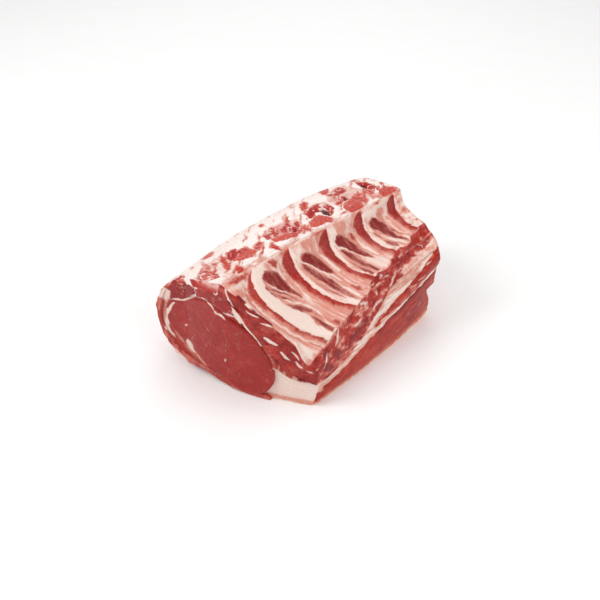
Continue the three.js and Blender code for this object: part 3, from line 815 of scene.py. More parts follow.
pale_fields = [
    ([(0.2, 0.11), (0.3, 0.09), (0.5, 0.078), (0.75, 0.088), (1, 0.12), (1.02, 0.155), (0.85, 0.155),
        (0.72, 0.172),
      (0.66, 0.165), (0.56, 0.142), (0.4, 0.128), (0.27, 0.126), (0.16, 0.143), (0.11, 0.165),
      (0.07, 0.15)], 4, 1.0),
    ([(0.58, 0.61), (0.75, 0.612), (0.93, 0.61), (0.95, 0.66), (0.88, 0.71), (0.76, 0.7), (0.72, 0.68),
        (0.72, 0.65), (0.62, 0.628)], 8, 0.7),
    ([(0.62, 0.0), (0.95, 0.0), (0.98, 0.05), (0.8, 0.03), (0.6, 0.02)], 8, 0.6),
    ([(0.05, -0.02), (0.1, -0.02), (0.14, 0.04), (0.12, 0.085), (0.07, 0.1), (0.06, 0.05)], 7, 0.62),
    ([(0.2, 0.0), (0.42, 0.0), (0.6, 0.018), (0.6, 0.035), (0.3, 0.036), (0.2, 0.05)], 5, 0.8),
    ([(0.04, 0.86), (0.1, 0.84), (0.12, 0.88), (0.09, 0.94), (0.04, 0.94)], 5, 1.0),
    ([(0.1, 0.77), (0.16, 0.75), (0.2, 0.77), (0.14, 0.82), (0.1, 0.86)], 6, 0.6),
]
red_spots = [
    [(0.0, 0.03), (0.05, 0.02), (0.08, 0.1), (0.03, 0.13), (0.0, 0.13)],
    [(0.03, 0.225), (0.1, 0.235), (0.14, 0.255), (0.08, 0.27), (0.03, 0.26)],
    [(0.02, 0.845), (0.07, 0.845), (0.07, 0.86), (0.03, 0.862)],
    [(0.05, 0.735), (0.11, 0.745), (0.08, 0.765), (0.05, 0.76)],
    [(0.9, 0.225), (0.99, 0.215), (0.98, 0.25), (0.92, 0.245)],
    [(0.78, 0.445), (0.9, 0.44), (0.97, 0.455), (0.88, 0.47), (0.8, 0.465)],
    [(0.2, 0.655), (0.3, 0.655), (0.34, 0.672), (0.26, 0.68)],
    [(0.0, 0.3), (0.03, 0.28), (0.05, 0.33), (0.02, 0.35)],
    [(0.0, 0.48), (0.03, 0.46), (0.05, 0.53), (0.01, 0.55)],
]
# Strength of each rib's deep red wall: its bare meat and painted shade.
wall_meat_and_shade = np.array([0.0, 0.35, 0.6, 0.85, 0.75, 0.9])
band_strength = np.array([0.5, 1.0, 0.8, 0.6, 0.62, 0.6])
ridge_patches = [
    (0, 0.7), (0.04, 0.5), (0.07, 0.3), (0.15, 0.35), (0.17, 0.5), (0.235, 0.5), (0.25, 1), (0.29, 1),
    (0.32, 0.35), (0.4, 0.4), (0.425, 0.95), (0.465, 0.9), (0.49, 0.4), (0.52, 0.5), (0.62, 0.55),
    (0.67, 0.95),
    (0.7, 0.5), (0.8, 0.5), (0.82, 0.9), (0.86, 0.9), (0.89, 0.4), (1, 0.4),
]


def ridge_white(along, flat):
    """White patches along the ridge of the chine, with peach and salmon between them."""
    white = np.interp(along, *np.transpose(ridge_patches))
    return np.clip(white + 0.75 * crumple(flat, 8, 46), 0, 1)


def rib_side_marks(across, along):
    """Marks of the ribbed side. Each crest carries a pale band, widest at both ends, and before it
    the wall is bare meat with painted shade, darkest at the chine and under the crest. The strips, lines and
    fields lie over these."""
    number, _, wall, crest, _ = rib_lines(across, along)
    flat = np.stack([across * rib_side_width, along * roast_length], -1)
    warp = np.stack([ripple(flat, 7, 40), ripple(flat, 7, 41)], -1) + 0.5 * np.stack(
        [ripple(flat, 2.5, 42), ripple(flat, 2.5, 43)], -1)
    u, v = np.moveaxis(flat + warp * [1.5, 0.8], -1, 0)
    scale = np.array([rib_side_width, roast_length])
    behind = (along - crest) * roast_length + 0.5 * warp[..., 1]
    before = (wall - along) * roast_length + 0.4 * warp[..., 0]
    thin = np.where(number == 1, 12.0, 5.0)
    band = lerp(15, thin, smooth(across, 0.05, 0.3)) + 5 * smooth(across, 0.55, 0.95)
    on_crest = (number > 0) & (behind > -0.6)
    pale = on_crest * (1 - smooth(behind, band - 4, band + 3)) * lerp(0.75, 1, smooth(behind, 2.5, 0.5))
    pale = pale * band_strength[number] * lerp(0.4, 1, smooth(across, 0.03, 0.13))
    is_wall = (number > 0) * smooth(-before - np.where(number == 1, 2.4, 0), -3.6, 2.4)
    is_wall = is_wall * smooth(-behind, -0.3, 0.9) * smooth(across, 0.0, 0.07)
    # The walls are painted deep red as bare meat with painted shade, strongest just under the crest and towards
    # the chine.
    steep = smooth(-behind, 0.0, 7)
    deep = is_wall * wall_meat_and_shade[number] * lerp(1.0, 0.3, smooth(across, 0.15, 0.75)) * lerp(1.0, 0.55, steep)
    from_crest = smooth(-behind + 0.8 * warp[..., 0], 0.8, 6)
    bare = lerp(1, lerp(1, 0.3, from_crest), smooth(across, 0.2, 0.65))
    blush = 1 - is_wall * bare * np.where(number == 1, 0.88, 1)
    lines = streaks_over(0 * u, u, v, white_lines, 1.4, scale=scale)
    threads = ripple(flat * [0.1, 1], 3.4, 44) + 0.6 * ripple(flat * [0.16, 1], 1.5, 47)
    mottle = crumple(flat * [0.5, 1], 7, 50)
    deep = patches_over(deep, u, v, dark_patches, 4.6, 0.86 + 0.35 * mottle + 0.12 * threads, scale)
    deep = patches_over(deep, u, v, grey_strips, 5, 0.7 + 0.25 * threads + 0.2 * mottle, scale)
    pale = pale * (1 - smooth(deep, 0.25, 0.6))
    for corners, soft, strength in pale_fields:
        field = strength * patch(u, v, np.array(corners) * scale, soft)
        pale = np.maximum(pale, field * (1 - smooth(deep, 0.3, 0.6)))
    pale = np.maximum(pale, lines * (0.8 + 0.25 * ripple(flat, 5, 48)))
    open_skin = (1 - is_wall) * (deep < 0.35)
    pale = pale + (0.62 * smooth(threads, -0.4, 0.9) + 0.3 * mottle) * open_skin * smooth(across, 0.03, 0.2)
    near_chine = 1 - smooth(across, 0.14, 0.32)
    clouds = np.clip(0.42 + 0.7 * mottle + 0.3 * threads, 0, 1)
    pale = pale + near_chine * smooth(along, 0.02, 0.12) * open_skin * clouds
    blush = blush - 0.28 * smooth(-threads, 0.2, 1.1) * (pale < 0.4) * (1 - is_wall)
    for corners in red_spots:
        spot = patch(u, v, np.array(corners) * scale, 4)
        blush, pale = blush * (1 - 0.75 * spot), pale * (1 - 0.8 * spot)
    lumps = crumple(flat + 2 * warp, 7, 45) + 0.25 * threads
    past_last = (number == rib_total - 1) & (behind > 0)
    pale = np.where(past_last, np.clip(0.48 + 0.8 * lumps, 0, 1), pale)
    blush = np.where(past_last, np.clip(0.8 - 0.6 * smooth(-lumps, 0.3, 0.9), 0, 1), blush)
    front = (number == 0) * (1 - smooth(along + 0.004 * warp[..., 0], 0.006, 0.022)) * (
        smooth(across, 0.15, 0.19) * (1 - smooth(across, 0.25, 0.29))
        + 0.8 * smooth(across, 0.3, 0.36) * (1 - smooth(across, 0.54, 0.58)))
    deep = np.maximum(deep, front)
    pale = pale * (1 - front)
    blush = blush * (1 - front)
    ridge = 1 - smooth(across + 0.012 * warp[..., 0], 0.0, 0.05)
    pale = lerp(pale, ridge_white(along, flat), ridge)
    blush = lerp(blush, 0.85, ridge)
    lean = smooth(across, cut_edge(along) - 0.02, cut_edge(along) + 0.012)
    slivers = smooth(ripple(flat * [1, 0.5], 4, 48), 0.35, 0.75)
    pale = pale * (1 - lean) + 0.5 * lean * slivers
    blush = blush * (1 - lean) + 0.4 * lean * smooth(threads, 0.2, 0.9)
    deep = np.maximum(deep * (1 - lean), lean * (0.35 + 0.4 * ripple(flat, 8, 49)))
    return {"pale": pale, "blush": blush, "deep": deep * (1 - ridge), "dark": 0.3 * front * (across < 0.3)}


def rib_rows():
    """Rows for the ribbed side, as shares along for each share across. They follow the feet, the
    steep walls and the crests, so that these edges stay sharp."""
    across = np.linspace(0, 1, rib_side_columns)
    rows = []
    for rib in range(rib_total):
        start, wall, crest = rib_foot(rib, across), rib_wall(rib, across), rib_crest(rib, across)
        end = across * 0 + 1 if rib == rib_total - 1 else rib_foot(rib + 1, across)
        if rib:
            rows.append(lerp(start, wall, np.linspace(0, 1, 8, endpoint=False)[:, None]))
            rows.append(lerp(wall, crest, np.linspace(0, 1, 10, endpoint=False)[:, None]))
        count = max(14, int(np.max(end - crest) * roast_length / 1.05))
        rows.append(lerp(crest, end, np.linspace(0, 1, count, endpoint=rib == rib_total - 1)[:, None]))
    along = np.concatenate(rows)
    return np.broadcast_to(across, along.shape), along


def grid_rim(rows, columns):
    """Numbers of the points round a grid's edge, in order."""
    grid = np.arange(rows * columns).reshape(rows, columns)
    return np.concatenate([grid[0, :-1], grid[:-1, -1], grid[-1, :0:-1], grid[:0:-1, 0]])


def plate_faces(rows, columns, rings):
    """Triangles of a grid, of the closed rings that go down from its edge and in below it, and of
    the fan from the last ring to the one point after it."""
    grid = np.arange(rows * columns).reshape(rows, columns)
    a, b, c, d = grid[:-1, :-1], grid[:-1, 1:], grid[1:, 1:], grid[1:, :-1]
    top = [np.stack(part, -1).reshape(-1, 3) for part in ([a, b, c], [a, c, d])]
    rim = grid_rim(rows, columns)
    order = np.concatenate([rim[None], rows * columns + np.arange(rings * len(rim)).reshape(rings, -1)])
    e, f = order[:-1], order[1:]
    e2, f2 = np.roll(e, -1, 1), np.roll(f, -1, 1)
    sides = [np.stack(part, -1).reshape(-1, 3) for part in ([e2, e, f], [e2, f, f2])]
    fan = np.stack([f2[-1], f[-1], np.full(len(rim), rows * columns + rings * len(rim))], -1)
    return np.concatenate([*top, *sides, fan])


def plate(top, skirt, below):
    """Points and faces of a grid, its skirt and the rings below it."""
    parts = [part.reshape(-1, 3) for part in (top, skirt, below)]
    points = np.concatenate([*parts, below[-1].mean(0)[None]])
    return points, plate_faces(*top.shape[:2], len(skirt) + len(below))


def cut_side(along):
    """-1 at the loin cut, 1 at the chuck cut and 0 between them."""
    return (along > 0.999) * 1.0 - (along < 0.001)


def side_step(along, height):
    """Step of the outside's curve at a height on the right side, from a table at each station."""
    steps = np.linspace(0, 3, 61)
    heights = through_corners(outer_side, along[:, None], steps)[..., 1]
    return np.array([np.interp(-goal, -row, steps) for goal, row in zip(height, heights)])


across, along = rib_rows()
top = rib_side_point(across, along, rib_relief(across, along))
top_marks = rib_side_marks(across, along)
rim = grid_rim(*along.shape)
edge_across, edge_along = across.ravel()[rim], along.ravel()[rim]
low = side_step(edge_along, seam_height(edge_along))
end_depth = rib_side_point(edge_across * 0 + 1, edge_along, 0 * edge_along)[:, 2] - seam_height(edge_along)
depth = lerp(9, end_depth, edge_across ** 0.7)
share = (np.arange(1, skirt_rings + 1) / skirt_rings)[:, None]
relief = rib_relief(edge_across, edge_along)
under = rib_side_point(edge_across + 0 * share, edge_along + 0 * share, relief * (1 - share) - share * depth)
beside = outer_point(low * share, edge_along + 0 * share)
beside = beside + (top.reshape(-1, 3)[rim] - outer_point(0 * low, edge_along)) * (1 - share)[..., None] ** 3
skirt = lerp(under, beside, smooth(edge_across, 0.84, 1.0)[:, None])
torn = np.clip(ripple(skirt[..., :1] * [1, 0], 5.5, 59) + 0.4 * ripple(skirt[..., :1] * [1, 0], 2.1, 60), 0, 1)
skirt[..., 2] -= (edge_along < 0.001) * 4.0 * torn * share ** 5
skirt[..., 1] = lengthwise(skirt[..., 0], edge_along) + cut_side(edge_along) * 0.9 * smooth(share, 0, 0.12)
inner = np.linspace(0.94, 0.03, below_rings)[:, None]
below_across, below_along = lerp(0.5, edge_across, inner), lerp(0.5, edge_along, inner)
below = rib_side_point(below_across, below_along, -9 - 5 * inner + 0 * edge_across)
points, faces = plate(top, skirt, below)

# Marks of the cut faces: white streaks in the dark meat at the loin cut, over x and z, and the
# slivers and dark places between the sawn rib ends, over the share along and the outside's step.
loin_streaks = [
    ([(36, 81), (41, 78), (49, 75)], 4.2), ([(18, 109), (24, 106), (30, 104)], 2.0),
    ([(33, 98), (42, 97), (51, 95)], 2.2),
    ([(52, 67), (56, 62), (61, 59)], 3.0), ([(66, 58), (69, 54), (72, 51)], 2.6),
    ([(62, 70), (66, 67), (69, 61)], 1.8),
    ([(76, 48), (82, 46)], 1.6), ([(60, 84), (70, 79), (76, 74)], 2.4),
]
end_slivers = [
    ([(0.145, 0.5), (0.17, 0.42), (0.185, 0.2), (0.2, 0.05)], 4.5),
    ([(0.3, 0.56), (0.33, 0.6), (0.37, 0.57)], 3.4),
    ([(0.375, 0.1), (0.4, 0.16), (0.43, 0.27)], 3.6), ([(0.505, 0.35), (0.515, 0.2)], 2.6),
    ([(0.45, 0.64), (0.49, 0.6), (0.53, 0.62)], 3.4),
    ([(0.535, 0.03), (0.56, 0.12)], 2.4), ([(0.6, 0.52), (0.635, 0.4), (0.67, 0.28)], 3.2),
    ([(0.585, 0.06), (0.62, 0.16)], 2.0),
    ([(0.89, 0.1), (0.91, 0.2), (0.9, 0.3)], 1.8), ([(0.68, 0.3), (0.75, 0.3)], 1.6),
    ([(0.04, 1.0), (0.07, 0.7), (0.09, 0.4)], 3.0),
]
end_darks = [
    [(0.055, 0.2), (0.1, 0.12), (0.12, 0.3), (0.085, 0.6), (0.055, 0.55)],
    [(0.025, 0.7), (0.06, 0.7), (0.13, 1.4), (0.09, 1.5), (0.04, 1.2)],
    [(0.27, 0.35), (0.3, 0.1), (0.33, 0.0), (0.35, 0.03), (0.31, 0.3)],
    [(0.44, 0.62), (0.47, 0.4), (0.5, 0.38), (0.48, 0.58)],
    [(0.66, 0.05), (0.8, 0.0), (0.81, 0.25), (0.7, 0.22)],
    [(0.51, 0.3), (0.53, 0.1), (0.56, 0.2), (0.54, 0.4)],
    [(0.25, 0.75), (0.42, 0.65), (0.4, 0.9), (0.3, 1.02), (0.23, 1.1)],
    [(0.12, 0.6), (0.16, 0.7), (0.2, 1.1), (0.15, 1.3), (0.12, 0.9)],
    [(0.84, 0.05), (0.98, 0.1), (0.97, 0.22), (0.86, 0.2)],
]
side = points[top.size // 3:]
rings = len(skirt) + len(below)
side_down = np.broadcast_to(np.concatenate([low * share, low + 0 * inner]), (rings, len(rim))).ravel()
side_along, side_across = np.tile(edge_along, rings), np.tile(edge_across, rings)
is_side, is_loin = side_across > 0.985, side_along < 0.001
warp = crumple(side, 6, 51)[:-1]
x, z = side[:-1, 0] + warp, side[:-1, 2] + crumple(side, 6, 52)[:-1]
u, v = side_along * roast_length + warp, side_down * side_step_width + 0.6 * warp
slanting = np.stack([(u + 0.8 * v) * 0.35, v - 0.25 * u], -1)
grain = ripple(slanting, 3.2, 55) + 0.6 * ripple(slanting, 1.4, 56)
pale = is_side * 0.4 * smooth(grain, 0.6, 1.2)
deep = 0.35 + 0.5 * crumple(side, 12, 53)[:-1] - is_side * (0.2 + 0.34 * grain)
pale = streaks_over(pale, x, z, loin_streaks, 1.3, is_loin)
pale = np.maximum(pale, cut_lines(side[:-1, 0], side[:-1, 2]) * is_loin)
scale = [roast_length, side_step_width]
pale = streaks_over(pale, u, v, end_slivers, 2.2, 0.72 * is_side, scale)
deep = patches_over(deep, u, v, end_darks, 5.0, 0.9 * is_side, scale)
deep = np.maximum(deep, is_loin * 0.75 * smooth(crumple(side * [1, 1, 1.6], 9, 54)[:-1], -0.4, 0.4))
deep = deep * (1 - smooth(pale, 0.3, 0.8))
blush = is_side * 0.8 * smooth(grain, -0.1, 0.9)
blush = np.maximum(blush, is_side * (1 - smooth(v, 2, 8)) * 0.6 * smooth(ripple(side[:-1], 6, 57), -0.2, 0.4))
skin = is_side * smooth(u + 3 * grain, 172, 192) * smooth(v + 0.8 * grain, 8.5, 11)
pale, deep, blush = np.maximum(pale, skin * (0.5 + 0.3 * grain)), deep * (1 - skin), np.maximum(blush, skin)
cut = {"pale": pale, "deep": deep, "blush": blush, "dark": 0 * pale}
marks = {mark: np.concatenate([top_marks[mark].ravel(), cut[mark], [0]]) for mark in cut}

on_cut = np.concatenate([np.zeros(top.size // 3), np.ones(len(u)), [0]])
relief = on_cut * (0.9 * crumple(points, 8, 56) + 0.35 * ripple(points, 2, 57))
sunk = 0.55 * marks["deep"] * (1 - marks["blush"] * 0.3)
relief += (1 - on_cut) * (0.3 * crumple(points, 6, 58) - sunk + 0.25 * marks["pale"])
points = raised(points, faces, relief)
rib_colors = (185, 62, 54), (142, 34, 36), (224, 157, 141), (241, 220, 209)
rib_meat_finish = flesh("rib_meat_and_skin", *rib_colors, grain=0.2, stretch=(5, 1, 3), wet=0.2)
add_piece("rib_meat_layer", points, faces, marks, rib_meat_finish, "rib_lean", "rib_meat")

# Ribs: six flat curved bones under a thin pale skin, sawn off at the rib ends. They lie just proud
# of the meat, so their tops carry the same marks.
bone_depth, bone_start, bone_rows, bone_columns, bone_rings = 10.0, 0.07, 118, 30, 10
rib_finish = flesh("rib_bone_and_skin", *rib_colors, grain=0.12, stretch=(5, 1, 3), wet=0.25)
for rib in range(rib_total):
    across = np.linspace(bone_start, 1.0, bone_rows)[:, None]
    share = np.linspace(0, 1, bone_columns)
    start = rib_crest(rib, across) + (0.004 if rib == 0 else 0.001)
    along = lerp(start, rib_back_edge(rib, across), share)
    across = np.broadcast_to(across, along.shape)
    border = np.minimum(smooth(share, 0, 0.08), smooth(-share, -1, -0.9)) * smooth(across, bone_start, 0.12)
    lift = rib_relief(across, along) + lerp(-0.4, 0.3, border)
    top = rib_side_point(across, along, lift)
    top_marks = rib_side_marks(across, along)
    rim = grid_rim(*along.shape)
    edge_across, edge_along = across.ravel()[rim], along.ravel()[rim]
    drop = (np.arange(1, bone_rings + 1) / bone_rings)[:, None]
    depth = bone_depth * (0.6 if rib == 0 else 1)
    skirt = rib_side_point(edge_across + 0 * drop, edge_along + 0 * drop, lift.ravel()[rim] - drop * depth)
    at_end = edge_across > 0.999
    skirt[..., 0] += at_end * (1.4 * np.sin(np.pi * drop) ** 0.5)
    inner = np.linspace(0.9, 0.05, 8)[:, None]
    below_across = lerp(0.53, edge_across, inner)
    row_middle = lerp(rib_crest(rib, below_across), rib_back_edge(rib, below_across), 0.5)
    edge_middle = lerp(rib_crest(rib, edge_across), rib_back_edge(rib, edge_across), 0.5)
    below_along = row_middle + (edge_along - edge_middle) * inner
    below = rib_side_point(below_across, below_along, rib_relief(below_across, below_along) - depth)
    points, faces = plate(top, skirt, below)
    hollow = (at_end * smooth(drop, 0.15, 0.4) * (1 - smooth(drop, 0.75, 0.95))).ravel()
    rest = np.zeros(below.size // 3 + 1)
    core = np.concatenate([np.zeros(top.size // 3), hollow, rest])
    shell = np.concatenate([np.zeros(top.size // 3), (at_end * (drop > 0)).ravel(), rest])
    blotch = crumple(points, 6, 60 + rib)
    on_skirt = np.zeros(skirt.size // 3)
    marks = {mark: np.concatenate([top_marks[mark].ravel(), on_skirt, rest]) for mark in top_marks}
    strokes = ripple(points * [1, 1.3, 0.35], 2.6, 64 + rib)
    marks["pale"] += shell * (1 - core) * smooth(blotch + 0.4 * strokes, 0.3, 0.8) * 0.7
    marks["deep"] += shell * (0.3 + 0.4 * core) * smooth(blotch - 0.5 * strokes, -0.4, 0.4)
    marks["blush"] += shell * 0.6 * smooth(strokes, -0.3, 0.6)
    relief = 0.3 * crumple(points, 6, 58) - 0.5 * marks["deep"] + 0.2 * marks["pale"] + shell * 0.5 * blotch
    points = raised(points, faces, relief)
    add_piece(f"rib_bone_{rib + 1}", points, faces, marks, rib_finish, "rib_bone", f"rib_{rib + 1}")

# Back fat: the smooth white dome along the top left, over the sawn backbone. Its marks are drawn
# over the outside's step and the share along: strength, then the outline.
spongy = [
    (0.9, [(12.45, 0.2), (12.48, 0.172), (12.62, 0.155), (12.95, 0.15), (12.98, 0.205), (12.75, 0.215),
        (12.5, 0.212)]),
    (0.6, [(12.72, 0.222), (13.0, 0.215), (13.05, 0.248), (12.76, 0.252)]),
    (0.7, [(12.85, 0.305), (13.0, 0.27), (13.3, 0.255), (13.38, 0.262), (13.2, 0.285), (13.0, 0.312)]),
    (0.7, [(13.4, 0.322), (13.6, 0.303), (13.95, 0.3), (13.95, 0.312), (13.7, 0.326)]),
    (0.75, [(12.65, 0.345), (12.7, 0.334), (13.1, 0.335), (13.12, 0.35), (12.95, 0.36), (12.95, 0.39),
        (12.78, 0.392), (12.8, 0.36)]),
    (0.85, [(12.52, 0.4), (12.6, 0.385), (12.8, 0.376), (12.85, 0.388), (12.62, 0.41)]),
    (1.0, [(12.88, 0.395), (12.95, 0.375), (13.08, 0.372), (13.05, 0.395), (12.92, 0.405)]),
    (0.8, [(12.8, 0.44), (12.95, 0.415), (13.22, 0.405), (13.3, 0.425), (13.1, 0.44), (12.85, 0.452)]),
    (0.9, [(12.72, 0.476), (12.8, 0.455), (13.02, 0.448), (13.05, 0.462), (12.85, 0.475)]),
    (1.0, [(13.05, 0.455), (13.3, 0.435), (13.46, 0.437), (13.42, 0.462), (13.2, 0.47)]),
    (0.8, [(12.82, 0.502), (12.95, 0.48), (13.3, 0.468), (13.4, 0.476), (13.2, 0.495), (13.0, 0.503)]),
    (0.6, [(13.45, 0.495), (13.6, 0.485), (14.05, 0.483), (14.05, 0.497), (13.6, 0.502)]),
    (1.0, [(12.66, 0.61), (12.78, 0.58), (12.95, 0.56), (13.22, 0.553), (13.2, 0.58), (13.1, 0.6),
        (13.1, 0.625), (12.85, 0.63)]),
    (0.8, [(12.62, 0.66), (12.66, 0.615), (12.85, 0.61), (12.95, 0.64), (12.8, 0.65), (12.72, 0.668)]),
    (0.9, [(12.85, 0.682), (12.95, 0.655), (13.2, 0.65), (13.5, 0.645), (13.62, 0.625), (13.55, 0.655),
        (13.3, 0.68), (13.0, 0.69)]),
    (0.6, [(12.18, 0.612), (12.3, 0.59), (12.66, 0.568), (12.6, 0.59), (12.35, 0.625)]),
    (0.9, [(12.88, 0.772), (13.0, 0.755), (13.2, 0.752), (13.22, 0.78), (13.0, 0.787)]),
    (0.7, [(13.02, 0.742), (13.1, 0.715), (13.25, 0.71), (13.25, 0.735), (13.12, 0.75)]),
    (0.75, [(12.4, 0.745), (12.55, 0.735), (12.75, 0.742), (12.74, 0.78), (12.72, 0.82), (12.5, 0.84),
        (12.22, 0.836), (12.35, 0.79), (12.5, 0.775)]),
    (0.7, [(13.15, 0.8), (13.5, 0.8), (13.8, 0.812), (13.55, 0.828), (13.2, 0.815)]),
    (1.0, [(12.35, 0.938), (12.5, 0.91), (12.85, 0.898), (13.2, 0.91), (13.38, 0.932), (13.1, 0.952),
        (12.75, 0.952)]),
    (0.5, [(12.36, 0.15), (12.55, 0.13), (12.95, 0.112), (13.42, 0.086), (13.5, 0.1), (13.0, 0.136),
        (12.6, 0.154)]),
    (0.45, [(12.48, 0.108), (12.58, 0.096), (12.68, 0.1), (12.6, 0.112)]),
    (0.5, [(12.08, 0.39), (12.15, 0.374), (12.3, 0.378), (12.28, 0.398)]),
    (0.6, [(13.45, 0.132), (13.6, 0.115), (14.05, 0.095), (14.05, 0.118), (13.8, 0.138)]),
    (0.45, [(10.95, 0.88), (11.3, 0.82), (11.9, 0.76), (12.2, 0.745), (11.8, 0.79), (11.3, 0.85)]),
    (0.9, [(11.5, 0.0), (12.0, 0.0), (11.9, 0.02), (11.55, 0.028)]),
    (0.9, [(13.08, 0.057), (13.25, 0.045), (13.46, 0.036), (13.5, 0.048), (13.25, 0.064)]),
    (0.7, [(12.52, 0.047), (12.6, 0.04), (12.9, 0.056), (12.88, 0.067), (12.6, 0.062)]),
    (0.6, [(13.08, 0.885), (13.3, 0.872), (13.5, 0.882), (13.45, 0.9), (13.2, 0.903)]),
]
sawn = [
    (0.45, [(12.5, 0.03), (12.62, 0.0), (13.35, 0.0), (13.48, 0.03), (13.3, 0.05), (12.9, 0.064),
        (12.58, 0.055)]),
    (0.95, [(12.48, 0.03), (12.58, 0.03), (12.66, 0.045), (12.9, 0.053), (13.25, 0.04), (13.42, 0.015),
        (13.5, 0.03),
            (13.3, 0.052), (12.92, 0.068), (12.56, 0.06)]),
    (0.9, [(11.45, 0.18), (11.55, 0.14), (11.75, 0.127), (12.02, 0.14), (11.85, 0.172), (11.6, 0.185)]),
    (0.75, [(10.6, 0.262), (10.7, 0.215), (10.95, 0.19), (11.0, 0.2), (10.85, 0.245), (10.7, 0.27)]),
    (1.0, [(10.8, 0.905), (11.0, 0.86), (11.4, 0.795), (11.9, 0.742), (12.35, 0.728), (12.45, 0.74),
        (12.05, 0.79), (11.5, 0.84), (11.05, 0.895)]),
    (0.9, [(11.3, 1.02), (11.7, 0.952), (12.25, 0.908), (12.3, 0.93), (11.9, 0.977), (11.5, 1.02)]),
    (0.9, [(10.5, 0.77), (10.6, 0.735), (10.8, 0.728), (10.9, 0.745), (10.75, 0.765), (10.6, 0.775)]),
    (0.8, [(10.56, 0.545), (10.66, 0.51), (10.82, 0.495), (10.76, 0.53), (10.65, 0.545)]),
    (0.95, [(12.36, 0.152), (12.55, 0.13), (12.95, 0.112), (13.42, 0.086), (13.5, 0.1), (13.0, 0.138),
        (12.6, 0.157)]),
    (0.95, [(13.42, 0.132), (13.6, 0.108), (14.05, 0.085), (14.05, 0.118), (13.8, 0.138), (13.5, 0.14)]),
    (0.8, [(12.45, 0.11), (12.55, 0.094), (12.72, 0.098), (12.62, 0.115)]),
    (0.9, [(12.82, 0.31), (12.95, 0.272), (13.15, 0.252), (13.42, 0.256), (13.25, 0.285), (13.05, 0.31)]),
    (0.95, [(13.32, 0.326), (13.45, 0.306), (13.7, 0.298), (14.05, 0.3), (14.05, 0.318), (13.7, 0.328)]),
    (0.9, [(12.08, 0.395), (12.15, 0.372), (12.3, 0.374), (12.35, 0.392), (12.2, 0.402)]),
    (0.8, [(13.3, 0.5), (13.5, 0.484), (14.05, 0.478), (14.05, 0.498), (13.6, 0.507)]),
    (0.85, [(12.15, 0.625), (12.3, 0.588), (12.68, 0.563), (12.66, 0.592), (12.4, 0.63)]),
    (0.75, [(13.7, 0.69), (13.9, 0.65), (14.05, 0.645), (14.05, 0.69), (13.85, 0.7)]),
    (0.8, [(13.0, 0.755), (13.05, 0.72), (13.2, 0.705), (13.3, 0.712), (13.25, 0.74), (13.12, 0.758)]),
    (0.7, [(13.05, 0.845), (13.1, 0.8), (13.5, 0.79), (13.95, 0.806), (13.95, 0.83), (13.6, 0.845),
        (13.3, 0.838)]),
    (0.75, [(13.02, 0.89), (13.2, 0.866), (13.55, 0.87), (13.6, 0.9), (13.3, 0.912), (13.1, 0.905)]),
    (0.6, [(13.55, 0.86), (14.05, 0.835), (14.05, 0.9), (13.7, 0.9)]),
    (0.6, [(12.0, 0.09), (12.3, 0.07), (12.7, 0.062), (12.75, 0.075), (12.3, 0.098)]),
    (0.5, [(11.0, 0.68), (11.35, 0.63), (11.9, 0.575), (12.1, 0.548), (12.3, 0.57), (12.15, 0.572),
        (11.95, 0.59), (11.4, 0.645), (11.05, 0.7)]),
    (1.0, [(12.7, 0.245), (12.72, 0.215), (12.97, 0.2), (12.95, 0.16), (13.15, 0.153), (13.38, 0.175),
        (13.46, 0.215), (13.38, 0.248), (13.0, 0.252)]),
    (1.0, [(13.15, 0.34), (13.45, 0.335), (13.62, 0.38), (13.72, 0.42), (13.62, 0.475), (13.48, 0.485),
        (13.52, 0.44), (13.35, 0.415), (13.2, 0.375)]),
    (1.0, [(13.25, 0.575), (13.38, 0.53), (13.65, 0.51), (13.85, 0.54), (13.97, 0.6), (13.8, 0.622),
        (13.5, 0.61), (13.3, 0.595)]),
    (1.0, [(13.35, 0.76), (13.45, 0.72), (13.75, 0.7), (14.1, 0.71), (14.1, 0.795), (13.62, 0.795),
        (13.4, 0.785)]),
    (1.0, [(13.5, 0.95), (13.58, 0.92), (13.8, 0.9), (14.1, 0.9), (14.1, 0.99), (13.75, 0.99),
        (13.55, 0.97)]),
    (0.45, [(13.75, 0.15), (14.1, 0.14), (14.1, 0.24), (13.8, 0.235)]),
    (0.5, [(13.85, 0.33), (14.1, 0.33), (14.1, 0.41), (13.9, 0.415)]),
    (0.6, [(13.85, 0.04), (14.1, 0.02), (14.1, 0.1), (13.85, 0.09)]),
    (0.35, [(12.6, 0.34), (13.3, 0.33), (13.5, 0.5), (12.8, 0.52), (12.55, 0.44)]),
    (0.3, [(12.55, 0.56), (13.2, 0.54), (13.6, 0.66), (13.0, 0.7), (12.55, 0.67)]),
    (0.35, [(12.8, 0.7), (13.4, 0.7), (13.7, 0.84), (13.9, 0.9), (13.0, 0.89), (12.2, 0.86), (12.3, 0.73)]),
    (0.3, [(12.2, 0.06), (13.9, 0.06), (13.9, 0.15), (12.3, 0.155)]),
    (0.3, [(11.8, 0.56), (12.2, 0.545), (12.3, 0.575), (11.5, 0.63), (11.0, 0.67), (10.75, 0.75),
        (10.72, 0.72), (11.1, 0.64)]),
]
# Holes in the sawn bone, sunk and painted dark as the shade inside them.
shaded_holes = [
    [(13.02, 0.615), (13.12, 0.602), (13.22, 0.62), (13.36, 0.616), (13.6, 0.624), (13.55, 0.64),
        (13.3, 0.648), (13.1, 0.64)],
    [(13.0, 0.775), (13.15, 0.76), (13.18, 0.775), (13.05, 0.782)],
    [(13.32, 0.455), (13.38, 0.44), (13.43, 0.443), (13.38, 0.458)],
    [(12.55, 0.925), (12.8, 0.905), (13.0, 0.915), (12.8, 0.93)],
]
glare_outline = [(13.08, 0.594), (13.25, 0.59), (13.36, 0.604), (13.2, 0.61), (13.1, 0.604)]
step_width = 27.0


def rolled_out(step, along):
    """Place on the outside, in millimetres, when this is rolled out flat."""
    return np.stack([step * step_width, along * roast_length + 0 * step], -1)


